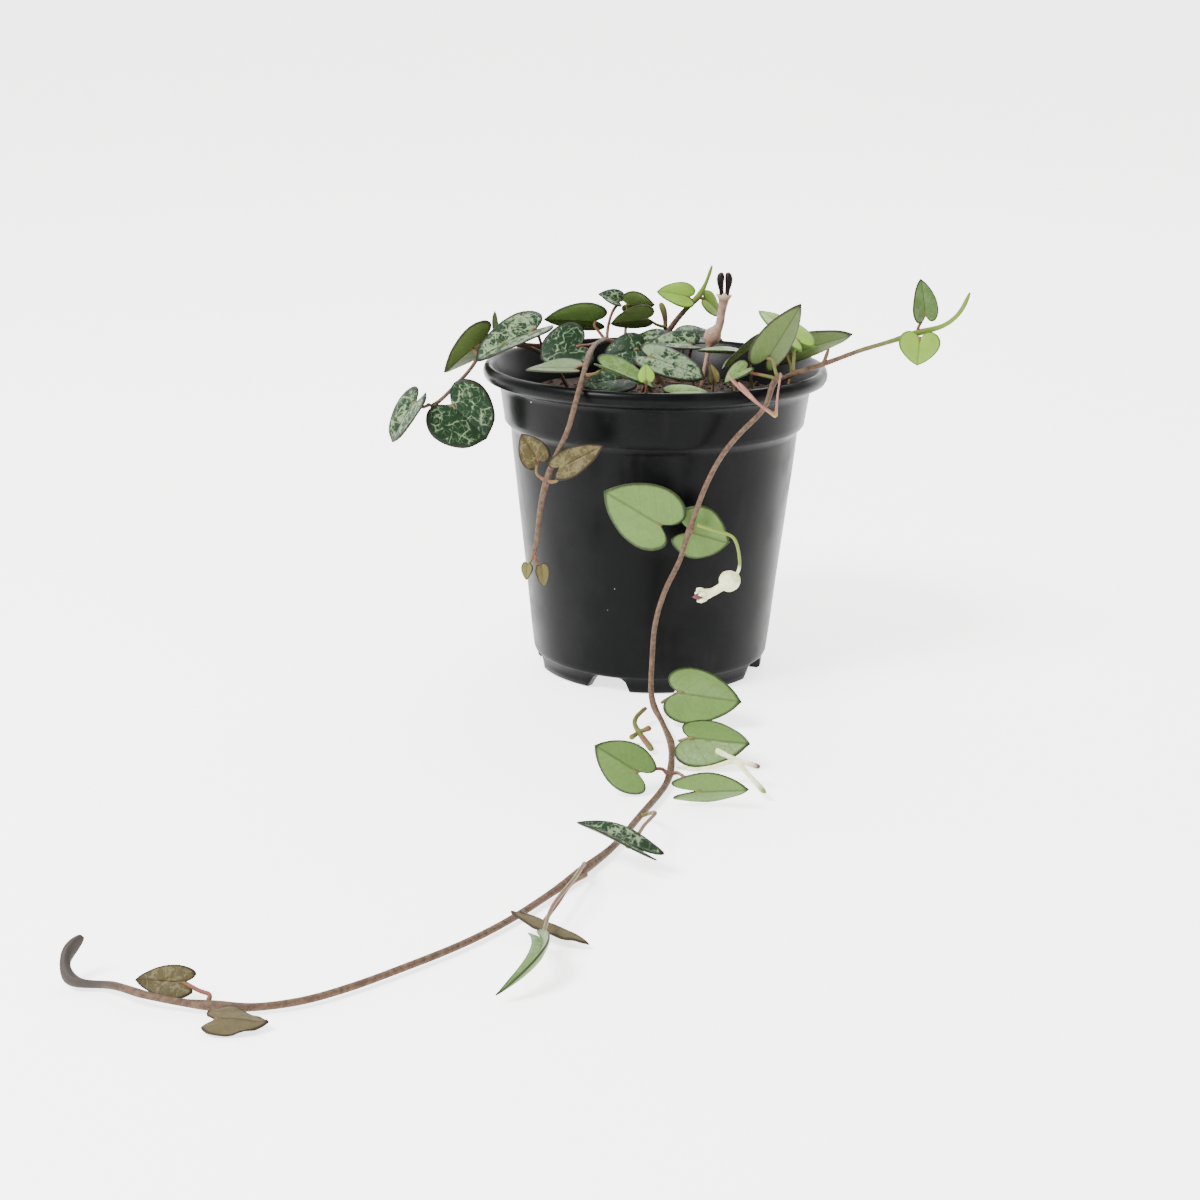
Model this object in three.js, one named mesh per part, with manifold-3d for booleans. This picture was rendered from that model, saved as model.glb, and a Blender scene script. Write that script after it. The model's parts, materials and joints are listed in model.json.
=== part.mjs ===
// Potted string of hearts: a trailing heart-leaved vine in a black nursery pot.
// Millimetres, +Z up, origin on the ground under the middle of the pot, front of the plant to -Y.
import * as THREE from 'three';
import { mergeVertices } from 'three/addons/utils/BufferGeometryUtils.js';
import Module from 'manifold-3d';

const wasm = await Module();
wasm.setup();

// ---------------------------------------------------------------- driving dimensions
const POT_HEIGHT = 92;
const RIM_RADIUS = 51;
const COLLAR_RADIUS = 46;
const STEP_RADIUS = 42.8;
const BASE_RADIUS = 35.7;
const FOOT_RADIUS = 34.5;
const FOOT_HEIGHT = 4.6;
const WALL = 1.4;
const FLOOR_TOP = 6.2;
const PAD_RADIUS = 12;
const ARCH_AZIMUTHS = [-136, -80, -22, 22, 66, 124, 180];
const ARCH_WIDTH = 13;
const DRAIN_RADIUS = 3;
const DRAIN_RING = 22;
const POT_FACETS = 40;

const SOIL_TOP = 81.5;
const SOIL_GAP = 0.7;

const STEM_SIDES = 6;
const PETIOLE_SIDES = 5;
const PETIOLE_RADIUS = 0.5;
const PETIOLE_STEPS = 3;
const STAND_OFF = 1.7;

const BLADE_THICKNESS = 1.2;
const RIM_THICKNESS = 0.7;
const HEART_CENTRE = 0.32;
const INNER_RING = 0.55;

// ---------------------------------------------------------------- finishes
const FINISHES = {
  pot: { color: 0x17181a, roughness: 0.38 },
  soil: { color: 0x2e231b, roughness: 0.95 },
  stem: { color: 0x7b5e50, roughness: 0.6 },
  marbled: { color: 0x567a52, roughness: 0.42 },
  sage: { color: 0x80946a, roughness: 0.5 },
  pale: { color: 0x93b47c, roughness: 0.45 },
  young: { color: 0x8fb34d, roughness: 0.42 },
  dull: { color: 0x84775b, roughness: 0.6 },
  dry: { color: 0x5d4b3f, roughness: 0.8 },
  mauve: { color: 0xb5918c, roughness: 0.5 },
  cream: { color: 0xe9e6d2, roughness: 0.5 },
  pink: { color: 0xbf7f74, roughness: 0.5 },
};

const plant = new THREE.Group();
plant.name = 'potted_string_of_hearts';

/** Adds one closed body to the plant under its own name and finish. */
function addPart(name, geometry, finish) {
  const material = new THREE.MeshStandardMaterial({ ...FINISHES[finish], metalness: 0 });
  const mesh = new THREE.Mesh(geometry, material);
  mesh.name = name;
  plant.add(mesh);
}

// ---------------------------------------------------------------- joining and cutting
function toSolid(geometry) {
  const bare = geometry.clone();
  bare.deleteAttribute('normal');
  bare.deleteAttribute('uv');
  const welded = mergeVertices(bare, 1e-4);
  return new wasm.Manifold(new wasm.Mesh({
    numProp: 3,
    vertProperties: new Float32Array(welded.attributes.position.array),
    triVerts: new Uint32Array(welded.index.array),
  }));
}

function toGeometry(solid) {
  const mesh = solid.getMesh();
  const geometry = new THREE.BufferGeometry();
  geometry.setAttribute('position', new THREE.BufferAttribute(mesh.vertProperties, 3));
  geometry.setIndex(new THREE.BufferAttribute(mesh.triVerts, 1));
  geometry.computeVertexNormals();
  return geometry;
}

/** Grows several closed bodies into one. */
function grownTogether(geometries) {
  const solids = geometries.map(toSolid);
  return toGeometry(solids.reduce((whole, piece) => whole.add(piece)));
}

function closedGeometry(positions, indices) {
  const geometry = new THREE.BufferGeometry();
  geometry.setAttribute('position', new THREE.Float32BufferAttribute(positions, 3));
  geometry.setIndex(indices);
  geometry.computeVertexNormals();
  return geometry;
}

// ---------------------------------------------------------------- round tapering shoots
function radiusAlong(stations, t) {
  const place = t * (stations.length - 1);
  const before = Math.min(Math.floor(place), stations.length - 2);
  return THREE.MathUtils.lerp(stations[before][3], stations[before + 1][3], place - before);
}

/** Closed round shoot through stations of [x, y, z, radius]. */
function shoot(stations, sides, steps) {
  const points = stations.map(([x, y, z]) => new THREE.Vector3(x, y, z));
  const curve = new THREE.CatmullRomCurve3(points, false, 'centripetal');
  const frames = curve.computeFrenetFrames(steps, false);
  const positions = [];
  const indices = [];
  for (let i = 0; i <= steps; i++) {
    const centre = curve.getPointAt(i / steps);
    const radius = radiusAlong(stations, curve.getUtoTmapping(i / steps));
    for (let j = 0; j < sides; j++) {
      const angle = 2 * Math.PI * j / sides;
      const point = centre.clone();
      point.addScaledVector(frames.normals[i], radius * Math.cos(angle));
      point.addScaledVector(frames.binormals[i], radius * Math.sin(angle));
      positions.push(...point.toArray());
    }
  }
  for (let i = 0; i < steps; i++) {
    for (let j = 0; j < sides; j++) {
      const here = i * sides + j;
      const beside = i * sides + (j + 1) % sides;
      indices.push(here, beside, beside + sides, here, beside + sides, here + sides);
    }
  }
  const last = steps * sides;
  for (let j = 1; j < sides - 1; j++) {
    indices.push(0, j + 1, j, last, last + j, last + j + 1);
  }
  return closedGeometry(positions, indices);
}

// ---------------------------------------------------------------- heart-shaped leaves
/** Half outline of a heart as [along, across], from the notch to just before the tip. */
function heartHalf(lobe, blunt) {
  return [
    [-0.75 * lobe, 0.24], [-lobe, 0.55], [-0.5 * lobe, 0.84], [0.12, 1],
    [0.4, 0.92 + 0.04 * blunt], [0.67, 0.62 + 0.16 * blunt], [0.87, 0.27 + 0.24 * blunt],
  ];
}

function heartOutline(lobe, blunt) {
  const right = heartHalf(lobe, blunt);
  const left = [...right].reverse().map(([along, across]) => [along, -across]);
  return [[0.02, 0], ...right, [1, 0], ...left];
}

/** Axes of a leaf: along the midrib, across it, and out of the upper side. */
function leafAxes({ base, tip, face }) {
  const origin = new THREE.Vector3(...base);
  const along = new THREE.Vector3(...tip).sub(origin);
  const length = along.length();
  along.normalize();
  const out = new THREE.Vector3(...face);
  out.addScaledVector(along, -out.dot(along)).normalize();
  const across = out.clone().cross(along);
  return { origin, along, across, out, length };
}

/** Closed heart blade, folded about its midrib, curled towards its underside and bowed sideways. */
function blade(leaf) {
  const { origin, along, across, out, length } = leafAxes(leaf);
  const { width, fold = 12, curl = 0.1, bow = 0, lobe = 0.18, blunt = 0.25 } = leaf;
  const outline = heartOutline(lobe, blunt);
  const count = outline.length;
  const tilt = THREE.MathUtils.degToRad(fold);

  const place = (s, t, lift) => {
    const side = Math.sign(t);
    const reach = Math.abs(t) * width / 2;
    const droop = curl * length * s * Math.abs(s);
    const aside = bow * length * 4 * s * (1 - s);
    const point = origin.clone().addScaledVector(along, s * length).addScaledVector(across, aside);
    point.addScaledVector(across, side * (reach * Math.cos(tilt) - lift * Math.sin(tilt)));
    point.addScaledVector(out, reach * Math.sin(tilt) - droop);
    point.addScaledVector(out, side === 0 ? lift : lift * Math.cos(tilt));
    return point.toArray();
  };

  const positions = [];
  const layers = [[1, RIM_THICKNESS], [INNER_RING, BLADE_THICKNESS]];
  for (const side of [1, -1]) {
    for (const [spread, thickness] of layers) {
      for (const [s, t] of outline) {
        const ringS = HEART_CENTRE + (s - HEART_CENTRE) * spread;
        positions.push(...place(ringS, t * spread, side * thickness / 2));
      }
    }
  }
  const topCentre = 4 * count;
  positions.push(...place(HEART_CENTRE, 0, BLADE_THICKNESS / 2));
  positions.push(...place(HEART_CENTRE, 0, -BLADE_THICKNESS / 2));

  const indices = [];
  for (let i = 0; i < count; i++) {
    const next = (i + 1) % count;
    const [rim, inner, lowRim, lowInner] = [0, 1, 2, 3].map((ring) => ring * count + i);
    const [rim2, inner2, lowRim2, lowInner2] = [0, 1, 2, 3].map((ring) => ring * count + next);
    indices.push(topCentre, inner2, inner, inner, inner2, rim2, inner, rim2, rim);
    indices.push(topCentre + 1, lowInner, lowInner2, lowInner, lowRim2, lowInner2);
    indices.push(lowInner, lowRim, lowRim2, rim, rim2, lowRim2, rim, lowRim2, lowRim);
  }
  return closedGeometry(positions, indices);
}

/** Leaf stalk from just clear of the vine at `foot` into the notch of the blade. */
function petiole(leaf) {
  const { origin, along, out, length } = leafAxes(leaf);
  const foot = new THREE.Vector3(...leaf.foot);
  const via = (leaf.via ?? []).map((point) => new THREE.Vector3(...point));
  const end = origin.clone().addScaledVector(along, 0.12 * length).addScaledVector(out, -0.1);
  const heading = (via[0] ?? end).clone().sub(foot).normalize();
  const start = foot.addScaledVector(heading, leaf.standOff ?? STAND_OFF);
  const middle = start.clone().lerp(end, 0.5);
  const radius = Math.min(PETIOLE_RADIUS, 0.09 * length);
  const stations = [start, ...(via.length ? via : [middle]), end];
  return shoot(stations.map((point) => [...point.toArray(), radius]), PETIOLE_SIDES, PETIOLE_STEPS);
}

function addLeaf(name, finish, leaf) {
  addPart(name, grownTogether([blade(leaf), petiole(leaf)]), finish);
}

// ---------------------------------------------------------------- nursery pot
function potBody() {
  const profile = [
    [0, FOOT_HEIGHT], [FOOT_RADIUS - 4, FOOT_HEIGHT], [FOOT_RADIUS - 4, 0.6], [FOOT_RADIUS - 3.4, 0],
    [FOOT_RADIUS - 0.6, 0], [FOOT_RADIUS, 0.6], [FOOT_RADIUS + 0.3, FOOT_HEIGHT],
    [BASE_RADIUS - 0.2, FOOT_HEIGHT + 0.3], [BASE_RADIUS, FOOT_HEIGHT + 1.6],
    [STEP_RADIUS, 73], [COLLAR_RADIUS - 1.5, 75], [COLLAR_RADIUS - 1.2, 76.5],
    [COLLAR_RADIUS, 85], [COLLAR_RADIUS + 0.8, 86.6], [RIM_RADIUS - 1.6, 87.4],
    [RIM_RADIUS - 0.3, 88.2], [RIM_RADIUS, 89.8], [RIM_RADIUS - 0.3, POT_HEIGHT - 0.7],
    [RIM_RADIUS - 1, POT_HEIGHT], [RIM_RADIUS - 2, POT_HEIGHT], [RIM_RADIUS - 2.9, POT_HEIGHT - 1],
    [COLLAR_RADIUS - WALL, 85], [COLLAR_RADIUS - 1.2 - WALL, 76.5], [STEP_RADIUS - WALL, 74.4],
    [BASE_RADIUS - WALL, FLOOR_TOP + 1.4], [BASE_RADIUS - WALL - 1.4, FLOOR_TOP], [0, FLOOR_TOP],
  ];
  return new THREE.LatheGeometry(profile.map(([r, z]) => new THREE.Vector2(r, z)), POT_FACETS);
}

/** Rounded archway through the foot ring, as a lying half-round bar. */
function archCutter(azimuth) {
  const arch = new THREE.CylinderGeometry(ARCH_WIDTH / 2, ARCH_WIDTH / 2, 12, 20);
  arch.scale(1, 1, FOOT_HEIGHT / (ARCH_WIDTH / 2));
  arch.translate(0, -FOOT_RADIUS, 0);
  arch.rotateZ(THREE.MathUtils.degToRad(azimuth));
  return toSolid(arch);
}

function drainCutter(azimuth) {
  const hole = new THREE.CylinderGeometry(DRAIN_RADIUS, DRAIN_RADIUS, 6, 16);
  hole.rotateX(Math.PI / 2);
  hole.translate(0, -DRAIN_RING, FLOOR_TOP - 1);
  hole.rotateZ(THREE.MathUtils.degToRad(azimuth));
  return toSolid(hole);
}

function addPot() {
  const body = potBody();
  body.rotateX(Math.PI / 2);
  const pad = new THREE.CylinderGeometry(PAD_RADIUS, PAD_RADIUS, FOOT_HEIGHT + 0.8, 32);
  pad.rotateX(Math.PI / 2);
  pad.translate(0, 0, (FOOT_HEIGHT + 0.8) / 2);
  let pot = toSolid(body).add(toSolid(pad));
  for (const azimuth of ARCH_AZIMUTHS) {
    pot = pot.subtract(archCutter(azimuth)).subtract(drainCutter(azimuth));
  }
  addPart('pot', toGeometry(pot), 'pot');
}

// ---------------------------------------------------------------- potting mix
function addSoil() {
  const profile = [
    [0, FLOOR_TOP + SOIL_GAP],
    [BASE_RADIUS - WALL - 2, FLOOR_TOP + SOIL_GAP],
    [STEP_RADIUS - WALL - SOIL_GAP, 73.5],
    [COLLAR_RADIUS - 1.2 - WALL - SOIL_GAP - 0.6, 77.5],
    [COLLAR_RADIUS - 1.2 - WALL - SOIL_GAP, SOIL_TOP - 1.5],
    [34, SOIL_TOP], [24, SOIL_TOP], [12, SOIL_TOP], [0, SOIL_TOP],
  ];
  const soil = new THREE.LatheGeometry(profile.map(([r, z]) => new THREE.Vector2(r, z)), POT_FACETS);
  soil.rotateX(Math.PI / 2);
  const crumbs = mergeVertices(toGeometry(toSolid(soil)));
  const points = crumbs.attributes.position;
  for (let i = 0; i < points.count; i++) {
    if (points.getZ(i) > SOIL_TOP - 0.2) {
      const bump = Math.sin(0.41 * points.getX(i)) * Math.cos(0.37 * points.getY(i));
      points.setZ(i, points.getZ(i) + 0.6 * bump);
    }
  }
  crumbs.computeVertexNormals();
  addPart('soil', crumbs, 'soil');
}

// ---------------------------------------------------------------- vines
/** Front vine: out over the right of the rim, down to the ground and away to the left. */
function addMainStem() {
  addPart('stem_main', shoot([
    [29, -21, 83.2, 0.8], [32, -27, 89, 0.8], [34.4, -33.6, 94.8, 0.8], [33, -39.6, 94.8, 1.1],
    [31.3, -43, 93.6, 0.9], [30, -45.3, 88.5, 0.8], [27.3, -45.8, 85, 0.8], [24, -46.5, 82, 0.8],
    [17.8, -48, 74.6, 0.8], [13.5, -49.5, 66.4, 0.8], [10.1, -50.6, 56.8, 0.8], [9.3, -51, 54.7, 1.2],
    [8.4, -51.4, 51.6, 0.8], [6.7, -52, 45.4, 0.8], [2.7, -52.5, 36.8, 0.8], [0, -53, 26.7, 0.8],
    [-0.6, -54, 16.7, 0.8], [-0.8, -55, 8.1, 0.8], [-0.2, -57, 4.2, 1.25], [1.4, -60, 2.4, 0.9],
    [2.7, -66.6, 1.5, 0.8], [4.3, -81.4, 1.7, 1.25], [4.2, -90, 1.5, 0.9], [3.4, -103, 1.6, 1.2],
    [1.9, -112, 1.4, 0.95], [-4.9, -133, 1.4, 0.95], [-11.7, -153, 1.4, 0.95], [-19, -168.5, 1.7, 1.4],
    [-25.5, -180, 1.4, 0.95], [-35.2, -195.8, 1.3, 0.9], [-44.4, -207.6, 1.3, 0.9],
    [-56.1, -219.4, 1.3, 0.9], [-65.4, -227.9, 1.3, 0.9], [-74.7, -234.4, 1.3, 0.9],
    [-84.3, -237.3, 1.3, 0.9], [-91.5, -237.5, 1.7, 1.4], [-97.6, -236.7, 1.8, 0.8],
    [-104.5, -235.6, 2.6, 0.8], [-108.2, -234, 2.8, 1.1], [-112, -231, 2.4, 0.75],
    [-117.3, -227.6, 1.6, 0.75], [-122.8, -227.4, 1.6, 0.9], [-124.6, -224.6, 4, 0.8],
    [-123.6, -222, 6.4, 0.95], [-121.6, -220.6, 8.6, 0.7],
  ], STEM_SIDES, 110), 'stem');
}

/** Left vine: level over the soil, over the front-left of the rim and straight down. */
function addLeftStem() {
  addPart('stem_left', shoot([
    [4, 5, 83, 0.75], [-2, 5.5, 91, 0.75], [-9, 5, 96.4, 0.75], [-14.6, 4.4, 97.6, 1.1],
    [-16.5, -8, 99.4, 0.75], [-18.3, -24, 100.4, 0.75], [-19.5, -33, 99.4, 1.1], [-20.6, -41, 96.6, 0.8],
    [-21.4, -46, 94.3, 0.85], [-22.6, -50.6, 90.4, 0.8], [-25.2, -51.2, 80.9, 0.8],
    [-28.2, -51, 74.4, 0.8], [-30.8, -50.6, 67, 1.1], [-32.5, -50.2, 58.8, 0.75],
    [-33.6, -50, 48.7, 0.75], [-34.4, -50, 45.6, 0.7],
  ], STEM_SIDES, 48), 'stem');
}

/** Far-left vine: out over the left of the rim, ending in a pair of hanging hearts. */
function addFarLeftStem() {
  addPart('stem_far_left', shoot([
    [-26, 7, 83, 0.6], [-31, 5, 91.5, 0.7], [-38, 3, 95.8, 0.6], [-46.5, 0.8, 96.6, 0.8],
    [-51.4, -1.4, 94.4, 0.6], [-55, -3.8, 89.6, 0.6], [-58.5, -5.6, 86, 0.6],
    [-64, -8, 80.8, 0.6], [-66.2, -9, 79.6, 0.9],
  ], STEM_SIDES, 26), 'stem');
}

/** Right vine: a young shoot reaching out over the rim, with a side bud and a pointed end. */
function addRightStem() {
  const shootLine = shoot([
    [27, -18, 83.2, 0.7], [33, -23, 90, 0.75], [38.6, -25, 93.4, 0.9], [47.4, -22.6, 96, 0.75],
    [57.8, -22, 100, 0.7], [66, -22, 102.6, 0.7], [73.6, -22, 105.2, 1.1], [81.7, -22, 107.6, 0.7],
    [85.7, -22, 111.2, 0.7], [87.6, -22, 115.2, 0.75], [88.2, -22, 117, 0.3],
  ], STEM_SIDES, 30);
  const sideBud = shoot([
    [47.4, -22.6, 96, 0.5], [48.2, -22.6, 98.4, 0.7], [48.8, -22.6, 100.6, 0.4],
  ], PETIOLE_SIDES, 3);
  addPart('stem_right', grownTogether([shootLine, sideBud]), 'stem');
}

/** Middle shoot: upright young growth with a stubby bud beside it. */
function addCentreStem() {
  const upright = shoot([
    [1, 13, 83.2, 1], [2.6, 15, 96, 1.1], [7, 15, 103.2, 0.9], [10.5, 15, 107.2, 0.8],
    [13.2, 15, 110, 1.2], [15.2, 15, 114, 0.5], [16.4, 15, 117.6, 0.6], [16.9, 15, 119.3, 0.3],
  ], STEM_SIDES, 20);
  const stub = shoot([
    [2.4, 14.6, 94, 0.6], [3, 10.6, 99, 0.7], [3, 10, 103.6, 0.8], [2.4, 10, 106.4, 1.4],
    [1.4, 10, 108.6, 0.9],
  ], PETIOLE_SIDES, 8);
  addPart('stem_centre', grownTogether([upright, stub]), 'stem');
}

// ---------------------------------------------------------------- leaves in the pot
function addFarLeftLeaves() {
  const pair = [-66.2, -9, 79.6];
  addLeaf('leaf_hanging_round', 'marbled', {
    foot: pair, base: [-60, -10, 80.5], tip: [-49.4, -11.5, 70.8], face: [0.1, -1, 0.15],
    width: 21, fold: 8, curl: 0.05, lobe: 0.26, blunt: 1, standOff: 2,
  });
  addLeaf('leaf_hanging_oblique', 'marbled', {
    foot: pair, base: [-70.2, -9, 81.2], tip: [-78.2, -12, 70.2], face: [-0.85, -0.45, 0.3],
    width: 16, fold: 10, lobe: 0.26, blunt: 0.8, standOff: 1.6,
  });
  const fork = [-47.4, 0.4, 96.6];
  addLeaf('leaf_left_sage', 'sage', {
    foot: fork, base: [-50.4, 3, 98.6], tip: [-63.6, -3, 90], face: [-0.3, 0.7, 0.6],
    width: 14, fold: 10,
  });
  addLeaf('leaf_left_small', 'sage', {
    foot: [-46, 1.4, 97.2], base: [-47, 6, 100.4], tip: [-48.4, 7.4, 105.6], face: [-1, 0.3, 0],
    width: 5, fold: 15,
  });
  addLeaf('leaf_left_broad', 'marbled', {
    foot: [-31, 5, 91.5], base: [-35, -4, 102.2], tip: [-53, -11, 95], face: [-0.2, -0.4, 0.9],
    width: 17, fold: 20, curl: 0.08, blunt: 0.6, standOff: 2.4,
  });
}

function addLeftLeaves() {
  addLeaf('leaf_left_back', 'pale', {
    foot: [-14.6, 4.4, 97.6], base: [-17.6, 6, 103.4], tip: [-33.2, 5, 105], face: [0, 0.75, 0.66],
    width: 13, fold: 12,
  });
  addLeaf('leaf_left_dark', 'marbled', {
    foot: [-17.3, -15, 99.9], base: [-21.8, -18, 99.8], tip: [-33.4, -21.6, 97],
    face: [0.1, -0.8, 0.6], width: 15.5, fold: 8, blunt: 0.9,
  });
  addLeaf('leaf_left_low', 'sage', {
    foot: [-20.2, -38, 97.8], base: [-23.6, -37.5, 96], tip: [-37, -35.5, 96.6],
    face: [0, -0.1, 1], width: 14, fold: 10, standOff: 1.9,
  });
  addLeaf('leaf_centre_speckled', 'marbled', {
    foot: [-14.6, 4.4, 97.6], via: [[-13.8, 8, 103]], base: [-11, 9, 108.6], tip: [-17, 9, 111.4],
    face: [-0.2, -0.6, 0.8], width: 7, fold: 30,
  });
}

function addCentreLeaves() {
  const vine = [-9, 5, 96.4];
  addLeaf('leaf_centre_back', 'sage', {
    foot: vine, via: [[-8.8, 8, 102]], base: [-8.6, 5.4, 108.6], tip: [-0.4, 6, 109],
    face: [0, 0.8, 0.6], width: 9, fold: 10,
  });
  addLeaf('leaf_centre_under', 'sage', {
    foot: [3, 10.3, 101], base: [-2.6, 2, 104.8], tip: [-13.6, 0.5, 104.4], face: [0, 0.75, 0.66],
    width: 10.5, fold: 12,
  });
  addLeaf('leaf_centre_marbled', 'marbled', {
    foot: [1, 8, 88], base: [2.2, -1.5, 98.8], tip: [-9.4, -1.5, 98.6], face: [0, -0.35, 0.94],
    width: 11, fold: 10,
  });
  addLeaf('leaf_centre_dark', 'marbled', {
    foot: [0, -8, 82], base: [-5.2, -13.5, 98], tip: [-16, -14.5, 96.6], face: [0, -0.75, 0.66],
    width: 11.5, fold: 8,
  });
  addLeaf('leaf_front_dark', 'marbled', {
    foot: [-6, -28, 82], base: [-8.4, -34.5, 93], tip: [-21, -35.5, 92], face: [0, -0.5, 0.87],
    width: 12, fold: 8,
  });
  addLeaf('leaf_front_long', 'pale', {
    foot: [-21.2, -44, 95.4], base: [-15.2, -40, 97.2], tip: [-0.6, -42.4, 92.4],
    face: [0.1, -0.35, 0.93], width: 9.5, fold: 34, curl: 0.05, standOff: 2,
  });
  addLeaf('leaf_front_tiny', 'young', {
    foot: [-3.2, -41.5, 82.4], via: [[-3.4, -44.6, 89]], base: [-3.6, -46.8, 95.4], tip: [-3.7, -46.4, 99.6],
    face: [0, -1, 0.2],
    width: 4.8, fold: 5, curl: 0, lobe: 0.25,
  });
  addLeaf('leaf_front_pale', 'marbled', {
    foot: [-6, -22, 82], base: [-3, -27.6, 98.4], tip: [13.4, -32, 93.6], face: [0.25, -0.65, 0.72],
    width: 11, fold: 6, curl: 0.04, blunt: 1,
  });
  addLeaf('leaf_middle_folded', 'marbled', {
    foot: [12, -4, 82], base: [10.4, -9.5, 98.8], tip: [-2.4, -10.5, 100.2], face: [0, -0.4, 0.92],
    width: 11, fold: 22,
  });
  addLeaf('leaf_back_marbled', 'marbled', {
    foot: [6, 22, 82], base: [8.6, 19.5, 96.6], tip: [21, 20, 97], face: [0, -0.4, 0.92],
    width: 11, fold: 10,
  });
  addLeaf('leaf_middle_edge', 'pale', {
    foot: [24, -14, 82], base: [22.4, -17.6, 98.4], tip: [11.8, -17, 99.4], face: [0.1, 0.05, 1],
    width: 11, fold: 8,
  });
  addLeaf('leaf_rim_low', 'pale', {
    foot: [4, -36, 82], base: [3.4, -42.2, 90.6], tip: [14.6, -41.4, 91.6], face: [0, -0.3, 0.95],
    width: 7, fold: 15,
  });
  addLeaf('leaf_shrivelled', 'dry', {
    foot: [15.5, -33, 82], base: [15.4, -37, 93.6], tip: [14.2, -38, 98.6], face: [0.3, -0.9, 0.2],
    width: 4.5, fold: 35,
  });
}

function addYoungLeaves() {
  const fork = [13.2, 15, 110];
  addLeaf('leaf_young_left', 'young', {
    foot: fork, base: [10, 13.8, 109.6], tip: [0.6, 12.4, 112], face: [-0.1, -0.75, 0.65],
    width: 9, fold: 12, standOff: 1.9,
  });
  addLeaf('leaf_young_right', 'young', {
    foot: fork, base: [15, 16.6, 108.6], tip: [20.6, 20, 103.6], face: [0.3, -0.7, 0.6],
    width: 7.5, fold: 12,
  });
  const end = [73.6, -22, 105.2];
  addLeaf('leaf_shoot_upright', 'sage', {
    foot: end, base: [75.8, -22, 110.2], tip: [74.4, -22, 120.6], face: [0.2, -0.9, 0.2],
    width: 8, fold: 15,
  });
  addLeaf('leaf_shoot_hanging', 'young', {
    foot: end, base: [74.2, -25, 104.4], tip: [73.8, -26.4, 96.6], face: [0, -0.95, 0.3],
    width: 12, fold: 8, lobe: 0.22,
  });
}

function addRightLeaves() {
  const bend = [33, -40, 94.8];
  addLeaf('leaf_right_bright', 'young', {
    foot: [38.6, -25, 93.4], base: [40.3, -25, 102.4], tip: [29.6, -14.6, 111.4],
    face: [0.3, -0.5, 0.8], width: 11, fold: 10,
  });
  addLeaf('leaf_right_tall', 'sage', {
    foot: bend, base: [30, -36.4, 99.6], tip: [38.7, -38, 115.6], face: [-0.35, 0.85, 0.35],
    width: 12.5, fold: 10, curl: 0.04,
  });
  addLeaf('leaf_right_inner', 'sage', {
    foot: [28, -26, 82], base: [26.6, -27, 102], tip: [17, -34.6, 97.2], face: [-0.2, 0.5, 0.85],
    width: 12, fold: 10,
  });
  addLeaf('leaf_right_back', 'sage', {
    foot: [38, -14, 82], base: [37.6, -12, 97], tip: [56, -13.6, 104.8], face: [-0.2, 0.75, 0.6],
    width: 12, fold: 10,
  });
  addLeaf('leaf_right_folded', 'pale', {
    foot: bend, base: [24.4, -39.6, 97.2], tip: [18, -42.6, 94.2], face: [-0.3, -0.6, 0.7],
    width: 6.5, fold: 28,
  });
}

// ---------------------------------------------------------------- leaves down the vines
function addLeftVineLeaves() {
  const joint = [-30.8, -50.6, 67];
  addLeaf('leaf_brown_left', 'dull', {
    foot: joint, via: [[-33.3, -50, 68.8]], base: [-33.2, -49, 72.6], tip: [-37.8, -47.5, 79.8],
    face: [0, -0.9, 0.3], width: 8.5, fold: 8,
  });
  addLeaf('leaf_brown_right', 'dull', {
    foot: joint, via: [[-28.2, -52.4, 67.4]], base: [-27, -53, 71.4], tip: [-15.2, -53, 78],
    face: [0.1, -0.9, 0.35], width: 8, fold: 14,
  });
  const end = [-34.4, -50, 45.6];
  addLeaf('leaf_dry_upper', 'dry', {
    foot: end, base: [-35.8, -50.4, 43], tip: [-36.4, -50.6, 38.6], face: [-0.4, -0.9, 0],
    width: 3.6, fold: 20, standOff: 1.2,
  });
  addLeaf('leaf_dry_lower', 'dry', {
    foot: end, base: [-32.2, -50.4, 42.4], tip: [-31, -50, 36.4], face: [0.4, -0.9, 0],
    width: 4.2, fold: 20, standOff: 1.2,
  });
}

function addFrontVineLeaves() {
  const joint = [9.3, -51, 54.7];
  addLeaf('leaf_front_large', 'pale', {
    foot: joint, base: [1.5, -50.2, 54.8], tip: [-14.8, -50.4, 65], face: [0.1, 0.97, 0.15],
    width: 20, fold: 8, curl: 0.05, lobe: 0.22, standOff: 1.9,
  });
  addLeaf('leaf_front_behind', 'pale', {
    foot: joint, base: [9.8, -47, 52.4], tip: [20.6, -47.6, 49.6], face: [0.1, 0.97, 0.15],
    width: 16.5, fold: 6, curl: 0.05, lobe: 0.42, standOff: 1.8,
  });
}

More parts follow.
